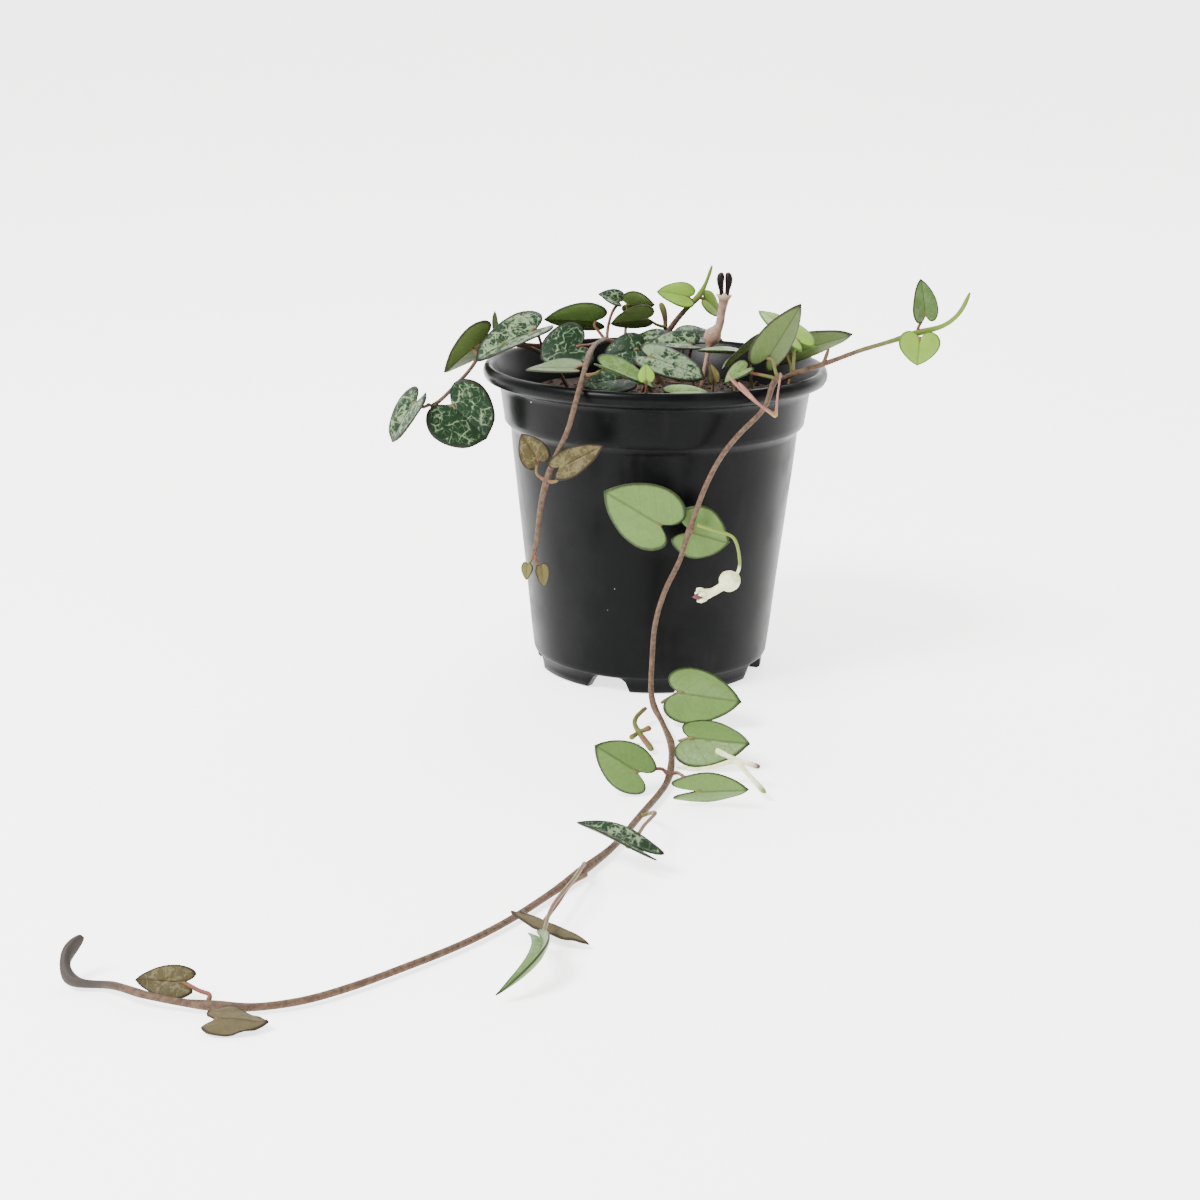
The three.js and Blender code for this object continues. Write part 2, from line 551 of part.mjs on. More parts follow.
function addGroundLeaves() {
  const first = [-0.2, -57, 4.2];
  addLeaf('leaf_ground_first', 'pale', {
    foot: first, base: [6.4, -60.6, 9.3], tip: [24.4, -64, 7.6], face: [0.17, 0.84, -0.5],
    width: 16.5, fold: 10,
  });
  addLeaf('leaf_ground_second', 'pale', {
    foot: [5.4, -82.2, 2.6], base: [8.4, -91.4, 7], tip: [24.8, -97, 6.4], face: [0.1, 0.57, -0.82],
    width: 16, fold: 12, lobe: 0.16,
  });
  addLeaf('leaf_ground_left', 'pale', {
    foot: [2.2, -103.8, 2.8], base: [-5.2, -115, 6], tip: [-16.8, -115.6, 13.4], face: [0.1, 0.75, -0.5],
    width: 13, fold: 12, lobe: 0.3,
  });
  addLeaf('leaf_ground_folded', 'pale', {
    foot: [5.2, -105, 2.2], via: [[7.2, -114, 4.2]], base: [9.2, -124, 4.6], tip: [22.4, -124.6, 6.2],
    face: [-0.1, 0.85, 0.2], width: 9.5, fold: 20, lobe: 0.45, standOff: 0,
  });
}

function addLowerVineLeaves() {
  addLeaf('leaf_lower_marbled', 'marbled', {
    foot: [-2.8, -134.4, 2.6], via: [[-1.6, -146, 7]], base: [-7.4, -164.6, 6.4], tip: [-20, -157, 10.6],
    face: [0.45, -0.35, 0.8], width: 8, fold: 32, lobe: 0.5, standOff: 0,
  });
  addLeaf('leaf_lower_brown', 'dull', {
    foot: [-18, -171.4, 2], via: [[-22.2, -184, 4.2]], base: [-27, -200, 3.4],
    tip: [-16.8, -206.4, 1.6], face: [0.1, 0.3, 0.95], width: 7, fold: -16, lobe: 0.6, curl: 0, standOff: 0,
  });
  addLeaf('leaf_lower_curled', 'pale', {
    foot: [-18.4, -169, 3.9], via: [[-18.8, -179, 6.6], [-24.2, -196, 7]], base: [-26.8, -213, 5.4],
    tip: [-36, -231.6, 2.6], face: [-0.3, 0.4, 0.85], width: 6, fold: 34, curl: 0.04, bow: 0.24,
    standOff: 0,
  });
}

function addFarEndLeaves() {
  addLeaf('leaf_end_brown', 'dull', {
    foot: [-91.4, -237.8, 1.7], base: [-90.4, -243.4, 1.7], tip: [-79.4, -244.4, 1.5],
    face: [0, 0.2, -1], width: 8.5, fold: 6, curl: 0,
  });
  addLeaf('leaf_end_dry', 'dull', {
    foot: [-91.8, -236, 3], base: [-98.2, -232.2, 4], tip: [-109, -230.4, 3.8],
    face: [0, -0.8, 0.6], width: 7, fold: 12, standOff: 1,
  });
}

// ---------------------------------------------------------------- flowers
/** One upright lantern flower: bulb, slim tube, flared collar and a cage of two dark lobes. */
function addUprightFlower() {
  const tube = shoot([
    [14, 8, 83, 0.6], [15.6, 8.6, 92, 0.6], [16.4, 9, 95.8, 0.9], [16.8, 9, 97.6, 2.3],
    [17.6, 9, 99.6, 2.3], [19, 9, 101.6, 1.3], [19.8, 9, 106, 1.2], [20.3, 9, 109.6, 1.5],
    [20.4, 9, 111.2, 2.2],
  ], 8, 22);
  const lobes = [-1, 1].map((side) => shoot([
    [20.4 + 1.2 * side, 9, 110.8, 0.4], [20.4 + 1.1 * side, 9, 113, 0.5],
    [20.4 + 1.5 * side, 9, 115.6, 0.95], [20.4 + 1.1 * side, 9, 117.4, 0.8],
    [20.4 - 0.1 * side, 9, 117.4, 0.4],
  ], 6, 10));
  addPart('flower_upright', grownTogether([tube, ...lobes]), 'mauve');
}

/** One hanging flower: thin stalk, round bulb and a short tube with a ragged mouth. */
function addHangingFlower() {
  addPart('flower_hanging', shoot([
    [11.3, -51.6, 55.4, 0.45], [16, -51, 53.8, 0.45], [21.5, -50, 51.5, 0.45], [23.4, -50.4, 45.1, 0.45],
    [23.1, -51, 42.2, 0.6], [22, -51, 40.6, 2.2], [20.6, -51.2, 39.3, 2.7], [18.6, -51.6, 37.8, 1.7],
    [16, -52, 36.3, 1.2], [14.2, -52.6, 35.8, 1.6], [13, -53, 35.6, 1.9],
  ], 8, 34), 'cream');
}

/** Stalk hanging over the rim with two slim pink buds turned back up. */
function addFlowerBuds() {
  const stalk = shoot([
    [33.6, -42.6, 96.8, 0.45], [33.2, -46.6, 96, 0.45], [32.4, -49, 91, 0.45], [32.2, -49.6, 86, 0.7],
  ], PETIOLE_SIDES, 8);
  const buds = [[21.2, -53, 96], [18.4, -51.6, 97.6]].map(([x, y, z]) => shoot([
    [32.2, -49.4, 86, 0.7], [(32.2 + x) / 2, y - 0.4, (84.6 + z) / 2, 0.6], [x + 2, y, z - 2, 0.8],
    [x, y, z, 0.5],
  ], PETIOLE_SIDES, 6));
  addPart('flower_buds', grownTogether([stalk, ...buds]), 'pink');
}

/** Faded flowers lying beside the vine on the ground. */
function addFadedFlowers() {
  const stalk = shoot([
    [5.5, -102, 2.8, 0.45], [9.6, -105.6, 3.4, 0.45], [14, -107.6, 4.8, 0.45], [20, -107.6, 7, 0.55],
  ], PETIOLE_SIDES, 7);
  const spent = [[27, -119, 2.4], [26, -111, 6.4], [15, -106, 9]].map(([x, y, z]) => shoot([
    [20, -107.6, 7, 0.55], [(20 + x) / 2, (y - 107.6) / 2, (7 + z) / 2, 0.5], [x, y, z, 0.8],
  ], PETIOLE_SIDES, 4));
  addPart('flowers_faded', grownTogether([stalk, ...spent]), 'cream');
}

/** Dried flower stalk with a few shrunken buds. */
function addDriedBuds() {
  const stalk = shoot([
    [-2.2, -59.5, 4.4, 0.5], [-5.6, -68, 3.6, 0.5], [-4.4, -76, 3, 0.6], [-1, -86, 1.6, 0.9],
  ], PETIOLE_SIDES, 8);
  const buds = [[-6.6, -79, 2.4], [-1.4, -78, 5]].map(([x, y, z]) => shoot([
    [-4.4, -76, 3, 0.5], [(x - 4.4) / 2, (y - 76) / 2, (z + 3) / 2, 0.5], [x, y, z, 0.9],
  ], PETIOLE_SIDES, 3));
  addPart('buds_dried', grownTogether([stalk, ...buds]), 'dry');
}

// ---------------------------------------------------------------- the whole plant
addPot();
addSoil();
addMainStem();
addLeftStem();
addFarLeftStem();
addRightStem();
addCentreStem();
addFarLeftLeaves();
addLeftLeaves();
addCentreLeaves();
addYoungLeaves();
addRightLeaves();
addLeftVineLeaves();
addFrontVineLeaves();
addGroundLeaves();
addLowerVineLeaves();
addFarEndLeaves();
addUprightFlower();
addHangingFlower();
addFlowerBuds();
addFadedFlowers();
addDriedBuds();

export default plant;
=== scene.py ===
# %% [markdown]
# # Potted string of hearts
# A trailing vine with fleshy heart-shaped leaves grows in a black nursery pot. The solid part fixes
# where everything is. This notebook grows the finished look over it: smooth leaves with marbled
# upper sides and pale undersides, wiry stems, waxy flowers, crumbly potting mix and a moulded pot.

# %% Load the part and measure it
import json
import math
import random

import bmesh
import bpy
import numpy as np
from mathutils import Matrix, Vector, bvhtree, kdtree, noise


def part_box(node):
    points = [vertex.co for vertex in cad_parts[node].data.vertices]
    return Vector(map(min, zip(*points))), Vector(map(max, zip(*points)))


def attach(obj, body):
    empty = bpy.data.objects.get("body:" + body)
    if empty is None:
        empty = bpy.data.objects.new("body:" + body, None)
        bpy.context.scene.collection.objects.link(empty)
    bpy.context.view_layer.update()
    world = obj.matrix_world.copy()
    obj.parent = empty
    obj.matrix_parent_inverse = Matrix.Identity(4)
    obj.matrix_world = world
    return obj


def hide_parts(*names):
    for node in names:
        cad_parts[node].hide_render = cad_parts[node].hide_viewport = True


MM = 0.001
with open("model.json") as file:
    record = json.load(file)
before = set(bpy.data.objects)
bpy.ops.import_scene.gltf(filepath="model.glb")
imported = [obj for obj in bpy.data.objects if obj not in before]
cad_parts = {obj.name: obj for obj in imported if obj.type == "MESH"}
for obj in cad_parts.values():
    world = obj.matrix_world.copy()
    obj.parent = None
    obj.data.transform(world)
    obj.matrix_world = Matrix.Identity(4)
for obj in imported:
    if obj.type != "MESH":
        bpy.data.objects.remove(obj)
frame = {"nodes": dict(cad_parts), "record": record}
NODES = frame["nodes"]
SLOT_OF = {s["node"]: s["material_slot"] for s in frame["record"]["subparts"]}
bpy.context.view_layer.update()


# %% [markdown]
# ## Paint by expression
# Nothing on a plant is one flat colour. Every finish here is a recipe of noise, cells and the
# piece's own markings. It could be wired up box by box, but a small class lets a recipe read like
# arithmetic: the blend of two tones is then one line, and a change of mind is one number.

# %% Values and recipes
class Value:
    """One number or colour in a finish that can be combined like a number."""

    def __init__(self, recipe, socket):
        self.recipe = recipe
        self.socket = socket

    def _math(self, kind, first, second=0.0):
        return self.recipe.node("ShaderNodeMath", {"operation": kind}, {0: first, 1: second})

    def __add__(self, other):
        return self._math("ADD", self, other)

    def __radd__(self, other):
        return self._math("ADD", other, self)

    def __sub__(self, other):
        return self._math("SUBTRACT", self, other)

    def __rsub__(self, other):
        return self._math("SUBTRACT", other, self)

    def __mul__(self, other):
        return self._math("MULTIPLY", self, other)

    def __rmul__(self, other):
        return self._math("MULTIPLY", other, self)

    def __abs__(self):
        return self._math("ABSOLUTE", self)

    def sine(self):
        return self._math("SINE", self)

    def step(self, start, end):
        """0 below start, 1 above end, smooth between; start may be the larger."""
        sockets = {"Value": self, "From Min": start, "From Max": end}
        return self.recipe.node("ShaderNodeMapRange", {"interpolation_type": "SMOOTHSTEP"}, sockets)


class Recipe:
    """The finish of one material."""

    def __init__(self, name):
        self.material = bpy.data.materials.new(name)
        self.material.use_nodes = True
        self.tree = self.material.node_tree
        self.shader = self.tree.nodes["Principled BSDF"]

    def node(self, kind, settings=None, sockets=None, out=0):
        made = self.tree.nodes.new(kind)
        for key, value in (settings or {}).items():
            setattr(made, key, value)
        for key, value in (sockets or {}).items():
            if isinstance(value, Value):
                self.tree.links.new(value.socket, made.inputs[key])
            else:
                made.inputs[key].default_value = value
        return Value(self, made.outputs[out])

    def place(self, stretch=(1.0, 1.0, 1.0)):
        """The point on the object, in millimetres, stretched along each axis."""
        point = self.node("ShaderNodeTexCoord", out="Object")
        scale = tuple(1000.0 * s for s in stretch)
        return self.node("ShaderNodeVectorMath", {"operation": "MULTIPLY"}, {0: point, 1: scale})

    def marking(self, name):
        """One of the numbers kept on the points of the piece."""
        return self.node("ShaderNodeAttribute", {"attribute_name": name}, out="Fac")

    def clouds(self, size, detail=3.0, point=None, roughness=0.55):
        """Soft noise whose blotches are about size millimetres across."""
        sockets = {"Vector": point or self.place(), "Scale": 1.0 / size, "Detail": detail,
                   "Roughness": roughness}
        return self.node("ShaderNodeTexNoise", {}, sockets, "Fac")

    def cells(self, size, feature="DISTANCE_TO_EDGE", point=None):
        """Distance inside cells about size millimetres across."""
        sockets = {"Vector": point or self.place(), "Scale": 1.0 / size}
        return self.node("ShaderNodeTexVoronoi", {"feature": feature}, sockets, "Distance")

    def wander(self, amount, size):
        """The point on the object pushed about by up to amount millimetres."""
        sockets = {"Vector": self.place(), "Scale": 1.0 / size, "Detail": 2.0}
        push = self.node("ShaderNodeTexNoise", {}, sockets, "Color")
        centred = self.node("ShaderNodeVectorMath", {"operation": "SUBTRACT"},
                            {0: push, 1: (0.5, 0.5, 0.5)})
        scaled = self.node("ShaderNodeVectorMath", {"operation": "MULTIPLY"},
                           {0: centred, 1: (2 * amount, 2 * amount, 2 * amount)})
        return self.node("ShaderNodeVectorMath", {"operation": "ADD"}, {0: self.place(), 1: scaled})

    def blend(self, low, high, amount):
        """The colour low where amount is 0 and high where it is 1."""
        sockets = {"Factor": amount}
        for key, colour in ((6, low), (7, high)):
            sockets[key] = colour if isinstance(colour, Value) else (*colour, 1.0)
        return self.node("ShaderNodeMix", {"data_type": "RGBA"}, sockets, 2)

    def relief(self, height, strength, depth_mm):
        """Fine relief, too shallow to be worth modelling."""
        sockets = {"Height": height, "Strength": strength, "Distance": depth_mm * MM}
        return self.node("ShaderNodeBump", {}, sockets, "Normal")

    def finish(self, constants=None, **varying):
        """Sets plain numbers on the shader, and joins what varies over the surface."""
        for key, value in (constants or {}).items():
            self.shader.inputs[key].default_value = value
        for key, value in varying.items():
            self.tree.links.new(value.socket, self.shader.inputs[key.replace("_", " ")])
        return self.material


print("recipes ready for", len(set(SLOT_OF.values())), "finishes")

# %% [markdown]
# ## Leaf finishes
# The upper side of a grown leaf is dark green with a silver net that follows its veins and swells
# into blotches. The underside is plain and pale with a darker line round the edge. A midrib and a
# few side veins show on both. Old leaves turn brown-olive and speckled, and young ones are bright.
# The net is the edge of wandering cells in two sizes, because real veins branch and meet in cells.
# One recipe serves all six kinds of leaf; only the tones and how much net there is differ.

# %% Leaf finishes
SILVER = (0.125, 0.175, 0.095)
LEAF_TONES = {
    "leaf_marbled": dict(top=(0.0035, 0.0125, 0.004), net=SILVER, net_amount=1.0,
                         under=(0.055, 0.10, 0.026), edge=(0.012, 0.010, 0.007), roughness=0.45),
    "leaf_sage": dict(top=(0.036, 0.064, 0.016), net=SILVER, net_amount=0.2,
                      under=(0.075, 0.112, 0.03), edge=(0.014, 0.008, 0.007), roughness=0.5),
    "leaf_pale": dict(top=(0.05, 0.088, 0.022), net=(0.14, 0.20, 0.08), net_amount=0.5,
                      under=(0.092, 0.158, 0.04), edge=(0.012, 0.014, 0.007), roughness=0.42),
    "leaf_young": dict(top=(0.095, 0.165, 0.02), net=(0.15, 0.22, 0.04), net_amount=0.2,
                       under=(0.105, 0.175, 0.022), edge=(0.035, 0.07, 0.006), roughness=0.4),
    "leaf_dull": dict(top=(0.034, 0.027, 0.010), net=(0.115, 0.095, 0.045), net_amount=0.7,
                      under=(0.075, 0.058, 0.026), edge=(0.016, 0.010, 0.008), roughness=0.62),
    "leaf_dry": dict(top=(0.07, 0.06, 0.022), net=(0.10, 0.085, 0.04), net_amount=0.5,
                     under=(0.085, 0.072, 0.03), edge=(0.012, 0.008, 0.006), roughness=0.8),
}
STALK_GREEN = (0.085, 0.095, 0.025)
STALK_PINK = (0.12, 0.05, 0.034)


def leaf_finish(slot, tones):
    """Marbled upper side, plain underside, dark edge line and a pinkish stalk."""
    r = Recipe(slot)
    along = r.marking("along")
    across = abs(r.marking("across"))
    upper = r.marking("upper").step(0.45, 0.55)
    rim = r.marking("rim")
    tone = r.marking("tone")
    wandering = r.wander(1.1, 3.2)
    fine = r.cells(1.7, point=wandering).step(0.09, 0.015)
    coarse = r.cells(4.2, point=r.wander(1.8, 5.0)).step(0.075, 0.01)
    cover = r.clouds(2.6, 5.0, point=wandering, roughness=0.62) + (tone - 0.5) * 0.26
    patches = cover.step(0.5, 0.6)
    mottle = r.clouds(0.9, 3.0).step(0.35, 0.7)
    rib = across.step(0.055, 0.015)
    side_veins = ((along * 22.0 - across * 9.0).sine()).step(0.965, 1.0) * 0.35
    near_net = cover.step(0.28, 0.44)
    net = coarse * near_net * 0.6 + fine * near_net * 0.42 + patches * (0.55 + mottle * 0.45)
    net = net.step(0.05, 1.0) * (1.0 - rim.step(0.86, 0.97) * 0.85) * tones["net_amount"]
    shade = r.clouds(4.5, 2.0)
    top = r.blend(tones["top"], tuple(1.7 * c for c in tones["top"]), shade)
    top = r.blend(top, tones["net"], net)
    top = r.blend(top, tuple(0.55 * c for c in tones["top"]), rib * 0.6)
    under_dark = tuple(0.72 * c for c in tones["under"])
    under = r.blend(tones["under"], under_dark, shade * 0.7 + mottle * 0.3)
    under = r.blend(under, tuple(0.45 * c for c in tones["under"]), rib * 0.75 + side_veins * 0.5)
    face = r.blend(under, top, upper)
    ragged = rim + (r.clouds(2.0) - 0.5) * 0.06
    face = r.blend(face, tones["edge"], ragged.step(0.885, 0.965) * 0.85)
    stalk = r.blend(STALK_GREEN, STALK_PINK, r.clouds(6.0).step(0.35, 0.6))
    skin = r.blend(face, stalk, r.marking("stalk"))
    rough = tones["roughness"] + (mottle - 0.5) * 0.12
    height = shade * 0.6 + mottle * 0.25 - rib * 0.5 - side_veins
    return r.finish({"Specular IOR Level": 0.12}, Base_Color=skin,
                    Roughness=rough, Normal=r.relief(height, 0.35, 0.25))


FINISH = {slot: leaf_finish(slot, tones) for slot, tones in LEAF_TONES.items()}
print("leaf finishes:", ", ".join(sorted(FINISH)))

# %% [markdown]
# ## Stem and flower finishes
# Old stem is brown-mauve and dull with fine streaks, and new growth turns green towards its tip.
# Flower tubes are thin-skinned and pale, and the cage on top of the upright one is almost black.
# Separate finishes for tip and tube would meet in a hard line, so one finish carries both and the
# markings `ripe` and `tone` on the points say where it changes.

# %% Stem and flower finishes
def tissue_finish(name, pale, deep, tip, throat, streak, roughness):
    """Soft plant tissue: two tones in streaks, with other tones where ripe and tone are set."""
    r = Recipe(name)
    streaks = r.clouds(streak, 4.0, roughness=0.65)
    spots = r.cells(1.4, "F1").step(0.32, 0.12) * r.clouds(3.0).step(0.5, 0.65)
    skin = r.blend(pale, deep, streaks.step(0.3, 0.7))
    skin = r.blend(skin, tuple(0.5 * c for c in deep), spots * 0.4)
    skin = r.blend(skin, tip, r.marking("ripe"))
    skin = r.blend(skin, throat, r.marking("tone"))
    rough = roughness + (streaks - 0.5) * 0.2
    return r.finish({"Specular IOR Level": 0.15}, Base_Color=skin, Roughness=rough,
                    Normal=r.relief(streaks, 0.3, 0.15))


FINISH["stem"] = tissue_finish("stem", (0.10, 0.06, 0.036), (0.045, 0.027, 0.018),
                               (0.095, 0.15, 0.02), (0.035, 0.028, 0.024), 1.2, 0.6)
FINISH["flower_mauve"] = tissue_finish("flower_mauve", (0.31, 0.20, 0.145), (0.20, 0.125, 0.09),
                                       (0.006, 0.0015, 0.0025), (0.36, 0.28, 0.18), 1.6, 0.5)
FINISH["flower_cream"] = tissue_finish("flower_cream", (0.78, 0.75, 0.52), (0.50, 0.54, 0.24),
                                       (0.13, 0.17, 0.03), (0.11, 0.03, 0.055), 2.2, 0.5)
FINISH["flower_pink"] = tissue_finish("flower_pink", (0.25, 0.12, 0.085), (0.17, 0.075, 0.055),
                                      (0.24, 0.19, 0.05), (0.2, 0.1, 0.1), 1.8, 0.5)
print("finishes so far:", len(FINISH))

# %% [markdown]
# ## Pot and potting mix finishes
# The pot is thin black plastic with a satin shine, a film of dust in patches, faint water marks and
# a few pale grains stuck to it. The mix is dark, damp peat with brown fibres. Black plastic shows
# itself by its shine more than by its colour, so the dust mainly changes how rough the skin is.

# %% Pot and potting mix finishes
def pot_finish():
    """Satin black plastic with dust and water marks."""
    r = Recipe("pot_plastic")
    dust = r.clouds(16.0, 5.0).step(0.42, 0.75)
    drips = r.clouds(5.0, 4.0, point=r.place((1.0, 1.0, 0.12))).step(0.55, 0.8)
    grain = r.clouds(0.35, 2.0)
    spots = r.cells(7.0, "F1").step(0.045, 0.03)
    skin = r.blend((0.0012, 0.0014, 0.0014), (0.004, 0.0043, 0.0042), dust)
    skin = r.blend(skin, (0.010, 0.0105, 0.010), drips * 0.3)
    skin = r.blend(skin, (0.5, 0.5, 0.47), spots * r.clouds(9.0, 1.0).step(0.60, 0.64))
    rough = 0.3 + dust * 0.16 + drips * 0.12
    height = grain * 0.4 + r.clouds(10.0, 2.0) * 0.6
    return r.finish({"Specular IOR Level": 0.06}, Base_Color=skin, Roughness=rough,
                    Normal=r.relief(height, 0.12, 0.3))


def mix_finish():
    """Damp peat with pale bits; rootlets are marked ripe."""
    r = Recipe("potting_mix")
    lumps = r.clouds(2.2, 6.0, roughness=0.7)
    bits = r.cells(1.3, "F1").step(0.25, 0.05)
    skin = r.blend((0.006, 0.004, 0.003), (0.04, 0.023, 0.014), lumps.step(0.35, 0.7))
    skin = r.blend(skin, (0.15, 0.10, 0.06), bits * r.clouds(4.0).step(0.58, 0.66))
    fibre = r.blend((0.13, 0.075, 0.04), (0.05, 0.028, 0.016), lumps)
    skin = r.blend(skin, fibre, r.marking("ripe"))
    return r.finish({"Specular IOR Level": 0.2}, Base_Color=skin, Roughness=0.85 + lumps * 0.1,
                    Normal=r.relief(lumps, 0.9, 1.2))


FINISH["pot_plastic"] = pot_finish()
FINISH["potting_mix"] = mix_finish()
print("all finishes:", len(FINISH))

# %% [markdown]
# ## Pieces and their shapes
# A finished piece is one closed mesh that stands in for one solid of the part. Its markings, such as
# how near the rim a point of a leaf is, are kept as numbers on its points. Stalks, lobes and
# rootlets are all round shoots along a smooth line, so one sweep grows them all.

# %% Making a piece
MARKINGS = ("along", "across", "upper", "rim", "stalk", "tone", "ripe")


def marking_layers(bm):
    """Room for every marking on the points of bm."""
    return {name: bm.verts.layers.float.new(name) for name in MARKINGS}


def set_piece(bm, name, node, slot, smooth=True):
    """Turns a bmesh into a piece that stands for the part's node."""
    bmesh.ops.recalc_face_normals(bm, faces=bm.faces)
    mesh = bpy.data.meshes.new(name)
    bm.to_mesh(mesh)
    bm.free()
    for polygon in mesh.polygons:
        polygon.use_smooth = smooth
    mesh.materials.append(FINISH[slot])
    piece = bpy.data.objects.new(name, mesh)
    bpy.context.scene.collection.objects.link(piece)
    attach(piece, "root")
    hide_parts(node)
    return piece


def solid_of(node):
    """The node's own mesh with its loose triangles merged."""
    bm = bmesh.new()
    bm.from_mesh(NODES[node].data)
    bmesh.ops.remove_doubles(bm, verts=bm.verts, dist=0.002 * MM)
    return bm


def smooth_path(points, count):
    """count + 1 points along a smooth curve through the given ones."""
    ends = [2 * points[0] - points[1], *points, 2 * points[-1] - points[-2]]
    out = []
    for i in range(count + 1):
        place = i / count * (len(points) - 1)
        k = min(int(place), len(points) - 2)
        t = place - k
        a, b, c, d = ends[k:k + 4]
        out.append(0.5 * ((2 * b) + (c - a) * t + (2 * a - 5 * b + 4 * c - d) * t * t
                          + (3 * b - a - 3 * c + d) * t ** 3))
    return out


def sweep(bm, path, radii, sides=8, wobble=0.0):
    """A closed round shoot along path, with domed ends; returns its points ring by ring."""
    heading = (path[1] - path[0]).normalized()
    side = heading.orthogonal().normalized()
    rings = []
    for i, (point, radius) in enumerate(zip(path, radii)):
        ahead = (path[min(i + 1, len(path) - 1)] - path[max(i - 1, 0)]).normalized()
        side = (side - ahead * side.dot(ahead)).normalized()
        other = ahead.cross(side)
        ring = []
        for j in range(sides):
            angle = 2 * math.pi * j / sides
            offset = side * math.cos(angle) + other * math.sin(angle)
            uneven = 1 + wobble * noise.noise((point + offset * radius) * 900)
            ring.append(bm.verts.new(point + offset * radius * uneven))
        rings.append(ring)
    for low, high in zip(rings, rings[1:]):
        for j in range(sides):
            k = (j + 1) % sides
            bm.faces.new((low[j], low[k], high[k], high[j]))
    for ring, point, tail in ((rings[0], path[0], path[1]), (rings[-1], path[-1], path[-2])):
        dome = bm.verts.new(point + (point - tail).normalized() * radii[0] * 0.5)
        for j in range(sides):
            bm.faces.new((ring[j], ring[(j + 1) % sides], dome))
        ring.append(dome)
    return rings


print("a piece carries the markings", MARKINGS)

# %% [markdown]
# ## Reading a leaf's place from the part
# Every leaf is the same heart, long or broad, folded along the midrib, drooping and bowed by its own
# amount. The short edges across the rim of the solid give points on its outline. Fitting the heart
# to them by least squares tells where the tip and notch are and how the blade bends between them.

# %% Read a leaf
RIM = 0.7 * MM
HUB = (0.32, 0.0)
SOFT = 0.035
SIDE_STEPS = 22


def heart_stops(lobe, blunt):
    """Outline of a heart of length 1 and half-width 1: notch, right half, tip, left half."""
    right = [(-0.75 * lobe, 0.24), (-lobe, 0.55), (-0.5 * lobe, 0.84), (0.12, 1.0),
             (0.4, 0.92 + 0.04 * blunt), (0.67, 0.62 + 0.16 * blunt), (0.87, 0.27 + 0.24 * blunt)]
    return [(0.02, 0.0), *right, (1.0, 0.0), *[(s, -t) for s, t in reversed(right)]]


def bend_terms(s, t, soft=0.0):
    """What a blade point depends on: place, midrib, breadth, fold, droop and bow."""
    fold = math.hypot(t, soft) - soft
    return [1.0, s, t, fold, s * abs(s), s * (1 - s)]


def rim_points(bm):
    """Middles of the short edges across the rim, in order, as far as they hang together."""
    short = [e for e in bm.edges if abs(e.calc_length() - RIM) < 0.0006 * MM]
    owner = {v: k for k, e in enumerate(short) for v in e.verts}
    links = {k: set() for k in range(len(short))}
    for v, k in owner.items():
        others = [owner.get(e.other_vert(v), k) for e in v.link_edges]
        links[k].update(j for j in others if j != k)
    chains = []
    loose = set(links)
    while loose:
        ends = sorted(k for k in loose if len(links[k] & loose) < 2)
        at = ends[0] if ends else min(loose)
        chain = []
        while at is not None:
            chain.append(at)
            loose.discard(at)
            at = min(links[at] & loose, default=None)
        chains.append(chain)
    longest = max(chains, key=len)
    return np.array([(short[k].verts[0].co + short[k].verts[1].co) / 2 for k in longest])


fits = {}


def heart_fit(lobe, blunt, start, count):
    """(terms, misfit matrix) for count outline points from the start-th on."""
    key = (lobe, blunt, start, count)
    if key not in fits:
        stops = heart_stops(lobe, blunt)
        terms = np.array([bend_terms(*stops[(start + k) % 16]) for k in range(count)])
        fits[key] = terms, np.eye(count) - terms @ np.linalg.pinv(terms, rcond=1e-6)
    return fits[key]


COARSE = [(lobe, blunt) for lobe in (0.14, 0.24, 0.36, 0.5, 0.64) for blunt in (0.0, 0.3, 0.7, 1.1)]
FINE = [(k / 50, j / 20) for k in range(2, 36) for j in range(0, 25)]


def misfit(points, shape, start):
    """How far, on average, the points are from the nearest heart of this shape."""
    matrix = heart_fit(*shape, start, len(points))[1]
    return np.linalg.norm(matrix @ points) / math.sqrt(len(points))


def closest_heart(points):
    """(misfit, shape, start) of the heart that runs closest to the points."""
    start = min((misfit(points, shape, k), k) for k in range(16) for shape in COARSE)[1]
    error, shape = min((misfit(points, shape, start), shape) for shape in FINE)
    return error, shape, start


def fit_heart(points):
    """Misfit, shape and bend of the heart through the points, less those that are no part of it."""
    best = closest_heart(points)
    while (len(points) > 16 or best[0] > 0.03 * MM) and len(points) > 12:
        trials = [np.delete(points, k, 0) for k in range(len(points))]
        points = min(trials, key=lambda trial: closest_heart(trial)[0])
        best = closest_heart(points)
    error, shape, start = best
    terms = heart_fit(*shape, start, len(points))[0]
    return error, shape, np.linalg.pinv(terms, rcond=1e-6) @ points


def blade_point(leaf, s, t, lift=0.0):
    """Point of the blade at s along and t across, raised by lift out of the upper side."""
    bend = leaf["bend"]
    here = np.array(bend_terms(s, t, SOFT)) @ bend
    if lift:
        step = 0.01
        along = np.array(bend_terms(s + step, t, SOFT)) @ bend - here
        across = np.array(bend_terms(s, t + step, SOFT)) @ bend - here
        normal = np.cross(along, across)
        here = here + normal / np.linalg.norm(normal) * lift
    return Vector(here)


def smooth_outline(leaf):
    """The heart's outline, notch to tip on the right and back on the left."""
    stops = [Vector(x) for x in heart_stops(leaf["lobe"], leaf["blunt"])[:9]]
    side = smooth_path(stops, SIDE_STEPS)
    return side[:-1] + [Vector((p.x, -p.y)) for p in side[:0:-1]]


